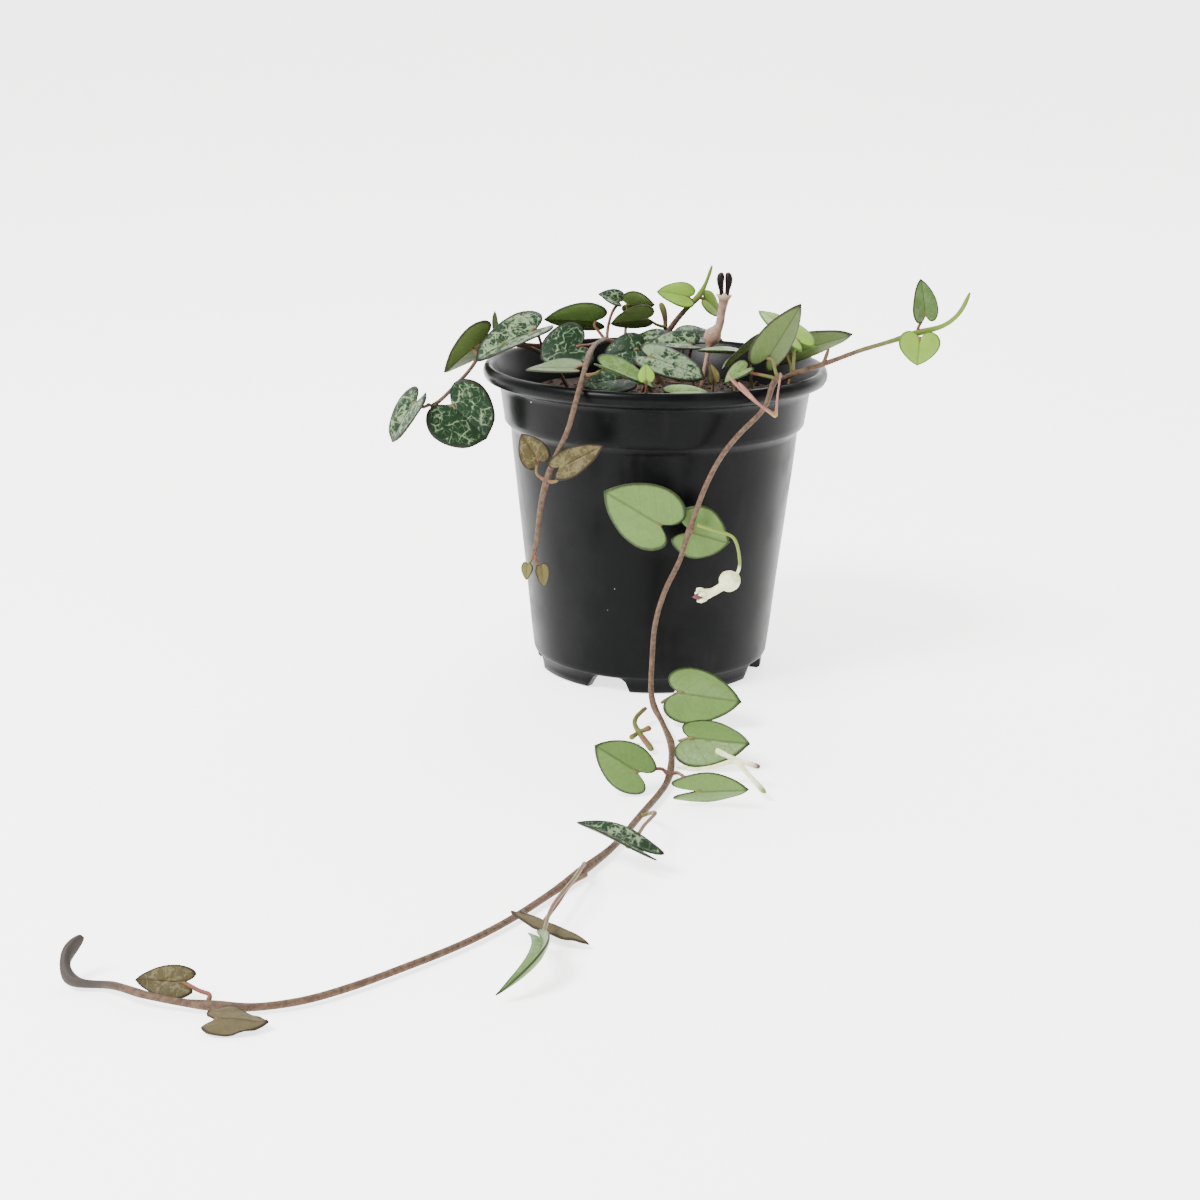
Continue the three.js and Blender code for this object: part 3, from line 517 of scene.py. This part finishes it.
def tube_rings(bm, foot, sides, stop):
    """(centre, radius) of each ring of a round shoot, from the end nearest to foot."""
    usable = [v for v in bm.verts if not stop(v.co)]
    if len(usable) < sides:
        return []
    first = min(usable, key=lambda v: (v.co - foot).length)
    level = sorted(usable, key=lambda v: (v.co - first.co).length)[:sides]
    seen = set(level)
    rings = []
    while level:
        centre = sum((v.co for v in level), Vector()) / len(level)
        rings.append((centre, sum((v.co - centre).length for v in level) / len(level)))
        following = []
        for v in level:
            for edge in v.link_edges:
                other = edge.other_vert(v)
                if other not in seen and not stop(other.co):
                    seen.add(other)
                    following.append(other)
        level = following if len(following) >= sides - 1 else []
    return rings


def read_leaf(node):
    """Shape, bend and stalk of one leaf of the part."""
    bm = solid_of(node)
    points = rim_points(bm)
    error, (lobe, blunt), bend = fit_heart(points)
    out = np.cross(bend[1], bend[2])
    if bend[3] @ out < 0:
        bend[2] = -bend[2]
    leaf = dict(node=node, lobe=lobe, blunt=blunt, bend=bend, error=error,
                length=float(np.linalg.norm(bend[1])), half=float(np.linalg.norm(bend[2])))
    outline = smooth_outline(leaf)
    places = [Vector(HUB).lerp(edge, k / 24) for k in range(25) for edge in outline]
    tree = kdtree.KDTree(len(places))
    for k, place in enumerate(places):
        tree.insert(blade_point(leaf, *place), k)
    tree.balance()
    notch = blade_point(leaf, 0.02, 0.0)
    loose = [v.co for v in bm.verts if tree.find(v.co)[2] > 0.85 * MM]
    foot = max(loose, key=lambda co: (co - notch).length) if loose else notch
    rings = tube_rings(bm, foot, 5, lambda co: tree.find(co)[2] < 0.85 * MM)
    leaf["stalk"] = [centre for centre, radius in rings]
    bm.free()
    return leaf


LEAVES = [read_leaf(n) for n in sorted(NODES) if n.startswith("leaf_")]
for leaf in LEAVES:
    size = "%.1f x %.1f mm" % (leaf["length"] / MM, 2 * leaf["half"] / MM)
    print(leaf["node"], size, "misfit %.4f mm" % (leaf["error"] / MM), "stalk", len(leaf["stalk"]))

# %% [markdown]
# ## Growing the leaves
# A living blade is a thin cushion: thickest in the middle, rounded at the rim, a little wavy, with a
# groove over the midrib. Each is laid out in rings from a point on the midrib to the smooth outline,
# an upper and a lower skin that meet in the rim. Its stalk runs on from the notch into the stem.

# %% Grow the leaves
RINGS = 9
PALENESS = {
    "leaf_hanging_round": 0.12, "leaf_hanging_oblique": 0.55, "leaf_left_broad": 0.6,
    "leaf_left_dark": 0.05, "leaf_centre_dark": 0.1, "leaf_centre_speckled": 0.4,
    "leaf_centre_marbled": 0.5, "leaf_front_dark": 0.05, "leaf_front_pale": 0.85,
    "leaf_middle_folded": 0.6, "leaf_back_marbled": 0.6, "leaf_lower_marbled": 0.35,
}
stem_points = []
stem_faces = []
for node in sorted(NODES):
    if node.startswith("stem_"):
        mesh = NODES[node].data
        stem_faces += [[v + len(stem_points) for v in f.vertices] for f in mesh.polygons]
        stem_points += [v.co.copy() for v in mesh.vertices]
stem_tree = bvhtree.BVHTree.FromPolygons(stem_points, stem_faces)


def grow_blade(bm, mark, leaf, seed, dry):
    """Upper and lower skin of the blade, closed round the rim."""
    tone = PALENESS.get(leaf["node"], random.uniform(0.2, 0.7))
    outline = smooth_outline(leaf)
    count = len(outline)
    thick = min(0.55, 0.075 * leaf["length"] / MM) * MM
    wave = (0.05 if dry else 0.016) * leaf["half"]
    shift = Vector((7.0 * seed, 0.0, 3.0))
    scale = 2.4 if dry else 1.7

    def skin(place, spread, side):
        s, t = place
        ripple = noise.noise(Vector((s * scale, t * scale, 0)) + shift) * spread ** 2 * wave * 5
        groove = math.exp(-(t / 0.04) ** 2) * min(1.0, 3 * (1 - spread)) * 0.14 * MM
        body = thick * (0.3 + 0.7 * (1 - spread ** 3))
        vert = bm.verts.new(blade_point(leaf, s, t, ripple - groove + side * body))
        values = dict(along=s, across=t, upper=0.5 + 0.5 * side, rim=spread, tone=tone)
        for name, value in values.items():
            vert[mark[name]] = value
        return vert

    rims = []
    for side in (1, -1):
        hub = skin(HUB, 0, side)
        rings = []
        for j in range(1, RINGS + 1):
            spread = (j / RINGS) ** 0.8
            rings.append([skin(Vector(HUB).lerp(edge, spread), spread, side) for edge in outline])
        for k in range(count):
            bm.faces.new((hub, rings[0][k], rings[0][(k + 1) % count]))
        for low, high in zip(rings, rings[1:]):
            for k in range(count):
                following = (k + 1) % count
                bm.faces.new((low[k], high[k], high[following], low[following]))
        rims.append(rings[-1])
    for k in range(count):
        following = (k + 1) % count
        bm.faces.new((rims[0][k], rims[0][following], rims[1][following], rims[1][k]))


def grow_stalk(bm, mark, leaf):
    """Stalk from inside the nearest stem into the blade."""
    stops = [*leaf["stalk"], blade_point(leaf, 0.02, 0.0), blade_point(leaf, 0.12, 0.0)]
    near, normal, face, gap = stem_tree.find_nearest(stops[0])
    if gap < 4 * MM:
        stops.insert(0, near - normal * 0.4 * MM)
    stops = [p for k, p in enumerate(stops) if k == 0 or (p - stops[k - 1]).length > 0.5 * MM]
    path = smooth_path(stops, 5 * (len(stops) - 1))
    radius = min(0.52 * MM, 0.09 * leaf["length"])
    radii = [radius * (1.15 - 0.3 * math.sin(math.pi * i / (len(path) - 1)))
             for i in range(len(path))]
    for ring in sweep(bm, path, radii, 8, 0.1):
        for vert in ring:
            vert[mark["stalk"]] = 1.0
            vert[mark["upper"]] = 0.5


def grow_leaf(leaf, seed):
    """The finished leaf that stands for one solid leaf."""
    random.seed(seed)
    slot = SLOT_OF[leaf["node"]]
    bm = bmesh.new()
    mark = marking_layers(bm)
    grow_blade(bm, mark, leaf, seed, slot in ("leaf_dry", "leaf_dull"))
    grow_stalk(bm, mark, leaf)
    return set_piece(bm, leaf["node"].replace("leaf_", "heart_"), leaf["node"], slot)


hearts = [grow_leaf(leaf, i) for i, leaf in enumerate(LEAVES)]
print(len(hearts), "leaves,", sum(len(h.data.polygons) for h in hearts), "faces")

# %% [markdown]
# ## Stems and flowers
# Stems are wiry and swell a little at each joint. They could be swept anew along their lines, but
# the solid's six-sided shoots already taper and swell in the right places, so they are rounded off
# twice and given the slight unevenness of grown tissue. The vine's dead end is dark and crumpled.

# %% Round off stems and flowers
def round_off(node, name, paint, plump=0.08, uneven=0.04):
    """A rounded copy of the node; paint gives ripe and tone for a point in millimetres."""
    slot = SLOT_OF[node]
    bm = solid_of(node)
    bmesh.ops.join_triangles(bm, faces=bm.faces, angle_face_threshold=0.7,
                             angle_shape_threshold=0.9)
    mark = marking_layers(bm)
    for vert in bm.verts:
        lump = noise.noise(vert.co * 420)
        ripe, tone = paint(vert.co / MM)
        crumple = tone * (0.5 + 2.2 * noise.noise(vert.co * 700)) if slot == "stem" else 0.0
        vert.co += vert.normal * (plump + lump * uneven + crumple) * MM
        vert.co.z = max(vert.co.z, 0.3 * MM)
        vert[mark["ripe"]] = ripe
        vert[mark["tone"]] = tone
    piece = set_piece(bm, name, node, slot)
    rounding = piece.modifiers.new("rounding", "SUBSURF")
    rounding.levels = 2
    rounding.render_levels = 2
    return piece


def ramp(value, start, end):
    """0 before start, 1 after end, straight between."""
    return max(0.0, min(1.0, (value - start) / (end - start)))


right_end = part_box("stem_right")[1][0] / MM
centre_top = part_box("stem_centre")[1][2] / MM
faded_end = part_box("flowers_faded")[1][0] / MM
main_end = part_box("stem_main")[0][0] / MM
SHOOTS = {
    "stem_main": lambda p: (0.0, ramp(main_end + 14 - p.x, 0, 4)),
    "stem_left": lambda p: (0.0, 0.0),
    "stem_far_left": lambda p: (0.0, 0.0),
    "stem_right": lambda p: (ramp(p.x, right_end - 34, right_end - 8), 0.0),
    "stem_centre": lambda p: (ramp(p.z, centre_top - 16, centre_top - 6), 0.0),
    "flower_buds": lambda p: (ramp(88 - p.z, 0, 3), 0.0),
    "flowers_faded": lambda p: (ramp(p.x, faded_end - 3, faded_end - 1) * ramp(5 - p.z, 0, 1),
                                ramp(p.x, faded_end - 4, faded_end - 2) * ramp(p.z, 4.5, 5.5)),
}
PLUMP = {"flowers_faded": 0.3, "flower_buds": -0.08}
for node, paint in SHOOTS.items():
    round_off(node, node + "_grown", paint, PLUMP.get(node, 0.08))


def round_buds():
    """The dried bud stalk, plumped out a little and rounded."""
    bm = solid_of("buds_dried")
    mark = marking_layers(bm)
    for vert in bm.verts:
        vert.co += vert.normal * 0.25 * MM * (1 + noise.noise(vert.co * 900))
        vert[mark["stalk"]] = 1.0
    piece = set_piece(bm, "buds_dried_grown", "buds_dried", SLOT_OF["buds_dried"])
    rounding = piece.modifiers.new("rounding", "SUBSURF")
    rounding.levels = 1
    rounding.render_levels = 1


round_buds()
print("stems and shoots:", len(SHOOTS) + 1)

# %% [markdown]
# ## The two open flowers
# A string of hearts flower is a lantern: a round bulb at the bottom, a slim tube and, over a small
# flared collar, narrow dark lobes that bend in and join at their tips. The solid gives the line and
# girth of each; here they are swept round in many sides with a waist and a ragged mouth.


# %% Open the flowers
def flower_line(node, foot, sides):
    """Rings of the solid flower's tube, and a bmesh to grow the new one in."""
    solid = solid_of(node)
    rings = tube_rings(solid, foot, sides, lambda co: False)
    solid.free()
    bm = bmesh.new()
    return rings, bm, marking_layers(bm)


def mark_ring(ring, mark, ripe, tone):
    """Sets both colour markings of a ring of points."""
    for vert in ring:
        vert[mark["ripe"]] = ripe
        vert[mark["tone"]] = tone


def open_upright():
    """The upright flower: bulb, tube, collar and dark lobes bent together."""
    low, high = [Vector(c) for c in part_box("flower_upright")]
    foot = Vector((low.x, (low.y + high.y) / 2, low.z))
    rings, bm, mark = flower_line("flower_upright", foot, 8)
    tube = [(c, r) for c, r in rings if c.z < high.z - 6.4 * MM]
    path = [c for c, r in tube]
    radii = [r * (1.12 if r > 1.7 * MM else 1.0) for c, r in tube]
    for ring, radius in zip(sweep(bm, path, radii, 20, 0.05), radii):
        collar = ramp(ring[0].co.z / MM, high.z / MM - 8.2, high.z / MM - 7.0)
        mark_ring(ring, mark, 0.0, collar)
    top = path[-1]
    line = [(0.8, -0.5, 0.6), (0.95, 1.2, 0.7), (1.2, 3.0, 1.0), (1.25, 4.4, 1.15),
            (1.0, 5.4, 1.0), (0.65, 5.9, 0.65)]
    for side in (-1, 1):
        for depth in (-0.35, 0.35):
            stops = [top + Vector((side * x, depth * (1 + z / 6), z)) * MM for x, z, r in line]
            lobe = smooth_path(stops, 15)
            girth = [line[min(5, i // 3)][2] * (1 - i % 3 / 3) * MM
                     + line[min(5, i // 3 + 1)][2] * (i % 3 / 3) * MM for i in range(16)]
            for ring in sweep(bm, lobe, girth, 10, 0.1):
                mark_ring(ring, mark, 1.0, 0.0)
    set_piece(bm, "flower_upright_open", "flower_upright", "flower_mauve")
    return len(tube)


def open_hanging():
    """The hanging flower: stalk, round bulb, slim tube and a ragged mouth with a dark tip."""
    low, high = [Vector(c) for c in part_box("flower_hanging")]
    rings, bm, mark = flower_line("flower_hanging", Vector((low.x, high.y, high.z)), 8)
    bulb = max(rings, key=lambda ring: ring[1])[0]
    path = smooth_path([c for c, r in rings], 120)
    middle = min(range(121), key=lambda k: (path[k] - bulb).length)
    radii = []
    for k, point in enumerate(path):
        away = (point - bulb).length / MM
        tube = 0.45 if k < middle else 1.15 + 0.6 * ramp(k, 108, 120)
        radii.append(max(tube, math.sqrt(max(0.0, 3.0 ** 2 - away ** 2))) * MM)
    for k, ring in enumerate(sweep(bm, path, radii, 20, 0.06)):
        mark_ring(ring, mark, ramp(middle - 14 - k, 0, 6), 0.0)
    mouth, ahead = path[-1], (path[-1] - path[-3]).normalized()
    side = ahead.orthogonal().normalized()
    for k in range(5):
        spin = Matrix.Rotation(2 * math.pi * k / 5, 3, ahead) @ side
        root = mouth + spin * radii[-1] * 0.8
        stops = [root - ahead * 0.6 * MM, root + (ahead * 0.7 + spin * 0.4) * MM,
                 root + (ahead * 1.3 + spin * 0.1) * MM]
        petal = sweep(bm, smooth_path(stops, 6), [0.6 * MM] * 5 + [0.45 * MM, 0.2 * MM], 8, 0.3)
        for ring in petal:
            mark_ring(ring, mark, 0.0, 0.0)
    tip = [mouth - ahead * MM, mouth + ahead * 1.2 * MM, mouth + ahead * 2.6 * MM]
    for ring in sweep(bm, smooth_path(tip, 6), [0.8 * MM] * 5 + [0.6 * MM, 0.3 * MM], 8, 0.4):
        mark_ring(ring, mark, 0.0, 1.0)
    set_piece(bm, "flower_hanging_open", "flower_hanging", "flower_cream")
    return len(rings)


print("tube rings:", open_upright(), open_hanging())

# %% [markdown]
# ## The pot
# A moulded nursery pot: a rolled lip, a collar, a slanted step, a tapering wall and a foot ring
# broken by rounded arches that let water out. It is a turned shape, spun from one profile in fine
# steps so that the lip's shine runs smoothly. The arches are pressed up into the foot afterwards,
# which keeps the ring in one piece where cutting would leave ragged edges.

# %% Spin the pot
pot_low, pot_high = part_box("pot")
POT_HEIGHT = pot_high[2] / MM
RIM_R = pot_high[0] / MM
TURN_STEPS = 192
FOOT = 4.6
PROFILE = [
    (12.0, 4.6), (30.4, 4.6), (30.6, 2.4), (30.8, 0.5), (31.3, 0.0), (33.7, 0.0), (34.3, 0.5),
    (34.5, 2.0), (34.75, 4.4), (35.3, 4.75), (35.6, 5.4), (35.75, 6.6), (36.4, 12.0), (38.0, 28.0),
    (40.2, 48.0), (42.3, 67.0), (42.75, 72.6), (43.0, 73.5), (44.2, 74.7), (44.7, 75.4),
    (44.85, 76.8), (45.4, 80.5), (46.0, 84.8), (46.4, 86.1), (47.4, 87.0), (49.2, 87.4),
    (50.4, 88.0), (50.9, 89.0), (51.0, 90.0), (50.7, 91.2), (50.1, 91.85), (49.4, 92.0),
    (48.8, 91.8), (48.2, 91.0), (47.2, 88.4), (44.7, 84.6), (43.5, 77.0), (43.2, 76.2),
    (41.6, 74.2), (41.2, 72.0), (34.4, 8.0), (33.8, 6.6), (32.6, 6.2), (12.0, 6.2),
]
ARCHES = [-136, -80, -22, 22, 66, 124, 180]
ARCH_HALF = 10.5


def arch_rise(azimuth):
    """How far the foot's edge is pressed up at this azimuth, in millimetres."""
    rise = 0.0
    for arch in ARCHES:
        off = abs((azimuth - arch + 180) % 360 - 180) / ARCH_HALF
        if off < 1:
            rise = max(rise, (1 - off ** 4) ** 0.5 * (FOOT - 0.2))
    return rise


def spin_pot():
    """The pot's wall, foot and floor as one closed shell."""
    bm = bmesh.new()
    scale = RIM_R / 51.0
    ring = [bm.verts.new((0.0, -r * scale * MM, z * POT_HEIGHT / 92.0 * MM)) for r, z in PROFILE]
    edges = [bm.edges.new((a, b)) for a, b in zip(ring, ring[1:])]
    bmesh.ops.spin(bm, geom=ring + edges, cent=(0, 0, 0), axis=(0, 0, 1), dvec=(0, 0, 0),
                   angle=2 * math.pi, steps=TURN_STEPS, use_merge=True, use_duplicate=False)
    bmesh.ops.remove_doubles(bm, verts=bm.verts, dist=0.001 * MM)
    for vert in bm.verts:
        radius = math.hypot(vert.co.x, vert.co.y) / MM
        height = vert.co.z / MM
        if radius > 30 and height < 2.6:
            azimuth = math.degrees(math.atan2(vert.co.x, -vert.co.y))
            rise = arch_rise(azimuth)
            vert.co.z = max(vert.co.z, (rise + 0.05 * height) * MM if rise else vert.co.z)
    hole_edges = [e for e in bm.edges if e.is_boundary]
    for z in (4.6, 6.2):
        level = [e for e in hole_edges if abs(e.verts[0].co.z / MM - z) < 0.3]
        if z > 5:
            bmesh.ops.contextual_create(bm, geom=level)
        else:
            pad = bmesh.ops.extrude_edge_only(bm, edges=level)["geom"]
            low = [g for g in pad if isinstance(g, bmesh.types.BMVert)]
            for vert in low:
                vert.co.z = 0.0
            foot = [g for g in pad if isinstance(g, bmesh.types.BMEdge) and g.is_boundary]
            bmesh.ops.contextual_create(bm, geom=foot)
    return bm


pot_bm = spin_pot()
marking_layers(pot_bm)
pot_piece = set_piece(pot_bm, "nursery_pot", "pot", "pot_plastic")
print("pot faces:", len(pot_piece.data.polygons), "rim radius", round(RIM_R, 2))

# %% [markdown]
# ## The potting mix
# Damp peat with bark crumbs, dead rootlets and the odd pale grain. The surface is a disc of rings
# pushed up and down by noise and closed below. Relief alone would look painted on close to the rim,
# so loose crumbs of a few faces each are pressed into it and rootlets laid on top.

# %% Fill in the potting mix
soil_low, soil_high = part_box("soil")
SOIL_R = soil_high[0] / MM - 0.2
SOIL_Z = soil_high[2] / MM - 0.9
random.seed(11)


def soil_height(x, y):
    """Height of the mix at x, y, all in millimetres."""
    coarse = noise.noise(Vector((x, y, 0)) * 0.16)
    fine = noise.noise(Vector((x, y, 5)) * 0.7)
    return SOIL_Z + 0.7 * coarse + 0.35 * fine


def lump(bm, centre, size, squash):
    """One crumb, squashed and turned at random."""
    made = bmesh.ops.create_icosphere(bm, subdivisions=1, radius=size * MM)["verts"]
    turn = Matrix.Rotation(random.uniform(0, 6.28), 3, Vector((random.random(), 1, 0.4)))
    for vert in made:
        rough = 1 + 0.35 * noise.noise(vert.co * 1500 + Vector(centre))
        stretched = Vector((vert.co.x * 1.4, vert.co.y, vert.co.z * squash)) * rough
        vert.co = turn @ stretched + Vector(centre) * MM


def rootlet(bm, mark):
    """A dead brown rootlet lying on the mix."""
    radius = (SOIL_R - 9) * math.sqrt(random.uniform(0.1, 1.0))
    angle, turn = random.uniform(0, 2 * math.pi), random.uniform(0, 2 * math.pi)
    x, y = radius * math.cos(angle), radius * math.sin(angle)
    stops = []
    for _ in range(4):
        stops.append(Vector((x, y, soil_height(x, y) + random.uniform(0.0, 0.6))) * MM)
        turn += random.uniform(-0.8, 0.8)
        x += 2.2 * math.cos(turn)
        y += 2.2 * math.sin(turn)
    girth = random.uniform(0.14, 0.3) * MM
    for ring in sweep(bm, smooth_path(stops, 9), [girth] * 10, 5):
        for vert in ring:
            vert[mark["ripe"]] = 1.0


def fill_soil():
    bm = bmesh.new()
    mark = marking_layers(bm)
    rings, spokes = 26, 72
    middle = bm.verts.new((0, 0, soil_height(0, 0) * MM))
    previous = None
    for j in range(1, rings + 1):
        radius = SOIL_R * j / rings
        ring = []
        for k in range(spokes):
            angle = 2 * math.pi * k / spokes
            x, y = radius * math.cos(angle), radius * math.sin(angle)
            ring.append(bm.verts.new((x * MM, y * MM, soil_height(x, y) * MM)))
        for k in range(spokes):
            following = (k + 1) % spokes
            if previous is None:
                bm.faces.new((middle, ring[k], ring[following]))
            else:
                bm.faces.new((previous[k], ring[k], ring[following], previous[following]))
        previous = ring
    rim = [e for e in bm.edges if e.is_boundary]
    skirt = bmesh.ops.extrude_edge_only(bm, edges=rim)["geom"]
    for vert in [g for g in skirt if isinstance(g, bmesh.types.BMVert)]:
        vert.co.x *= 0.93
        vert.co.y *= 0.93
        vert.co.z -= 12 * MM
    bmesh.ops.contextual_create(bm, geom=[e for e in bm.edges if e.is_boundary])
    for _ in range(420):
        radius = (SOIL_R - 2.2) * math.sqrt(random.random())
        angle = random.uniform(0, 2 * math.pi)
        x, y = radius * math.cos(angle), radius * math.sin(angle)
        size = random.uniform(0.35, 1.2)
        lump(bm, (x, y, soil_height(x, y) + 0.15 * size - 0.3), size, random.uniform(0.4, 0.8))
    for _ in range(60):
        rootlet(bm, mark)
    return bm


soil_piece = set_piece(fill_soil(), "potting_mix_fill", "soil", "potting_mix", smooth=False)
print("potting mix faces:", len(soil_piece.data.polygons))

# %% [markdown]
# ## Studio
# A seamless pale sweep under and behind the plant, a white sky, a soft lamp from the front left and
# a weaker one behind. A bright sweep lights the undersides of the leaves as a white table does. The
# camera looks slightly down at the plant from the front.


# %% Sweep, light and camera

def pale_finish():
    """Pale sweep with a little light of its own, so that it stays even."""
    r = Recipe("pale_sweep")
    tint = r.clouds(220.0, 2.0)
    skin = r.blend((0.90, 0.90, 0.89), (0.86, 0.86, 0.86), tint)
    return r.finish({"Roughness": 0.6, "Specular IOR Level": 0.2,
                     "Emission Color": (1.0, 1.0, 0.99, 1.0), "Emission Strength": 2.2},
                    Base_Color=skin)


def lay_sweep():
    """A floor that curves up into a backdrop."""
    bm = bmesh.new()
    line = [Vector((0.0, -2.0, 0.0)), Vector((0.0, 1.6, 0.0))]
    for i in range(1, 13):
        angle = math.radians(90 * i / 12)
        line.append(Vector((0.0, 1.6 + 0.8 * math.sin(angle), 0.8 * (1 - math.cos(angle)))))
    line.append(Vector((0.0, 2.4, 3.2)))
    rows = [[bm.verts.new((x, p.y, p.z - 0.0002)) for p in line] for x in (-3.0, 3.0)]
    for k in range(len(line) - 1):
        bm.faces.new((rows[0][k], rows[1][k], rows[1][k + 1], rows[0][k + 1]))
    mesh = bpy.data.meshes.new("sweep")
    bm.to_mesh(mesh)
    bm.free()
    for polygon in mesh.polygons:
        polygon.use_smooth = True
    mesh.materials.append(pale_finish())
    sweep_object = bpy.data.objects.new("sweep", mesh)
    bpy.context.scene.collection.objects.link(sweep_object)


def aim(obj, target):
    """Turns a lamp towards target."""
    heading = Vector(target) - obj.location
    obj.rotation_euler = heading.to_track_quat("-Z", "Y").to_euler()


def hang_lamp(name, place, size, power):
    """A round soft lamp aimed at the plant."""
    lamp = bpy.data.lights.new(name, "AREA")
    lamp.shape = "DISK"
    lamp.size = size
    lamp.energy = power
    holder = bpy.data.objects.new(name, lamp)
    holder.location = place
    bpy.context.scene.collection.objects.link(holder)
    aim(holder, (0.0, -0.05, 0.05))


def set_camera():
    """Camera in front of the pot, pitched down 16 degrees and a touch rolled."""
    data = bpy.data.cameras.new("camera")
    data.lens = 62.64
    data.sensor_width = 36.0
    holder = bpy.data.objects.new("camera", data)
    pitch, roll = math.radians(16.04), math.radians(0.73)
    ahead = Vector((0.0, math.cos(pitch), -math.sin(pitch)))
    level = Vector((1.0, 0.0, 0.0))
    up = level.cross(ahead)
    right = level * math.cos(roll) + up * math.sin(roll)
    top = up * math.cos(roll) - level * math.sin(roll)
    turn = Matrix((right, top, -ahead)).transposed().to_4x4()
    holder.matrix_world = Matrix.Translation((-0.0155, -0.615, 0.1954)) @ turn
    bpy.context.scene.collection.objects.link(holder)
    bpy.context.scene.camera = holder


lay_sweep()
hang_lamp("lamp_front_left", (-0.7, -0.6, 1.0), 0.5, 42.0)
hang_lamp("lamp_back", (0.2, 0.9, 1.2), 1.0, 12.0)
world = bpy.data.worlds.new("sky")
world.use_nodes = True
world.node_tree.nodes["Background"].inputs["Color"].default_value = (1.0, 1.0, 1.0, 1.0)
world.node_tree.nodes["Background"].inputs["Strength"].default_value = 1.3
bpy.context.scene.world = world
set_camera()
print("camera at", [round(c, 4) for c in bpy.context.scene.camera.location])

# %% Update the scene
bpy.context.view_layer.update()
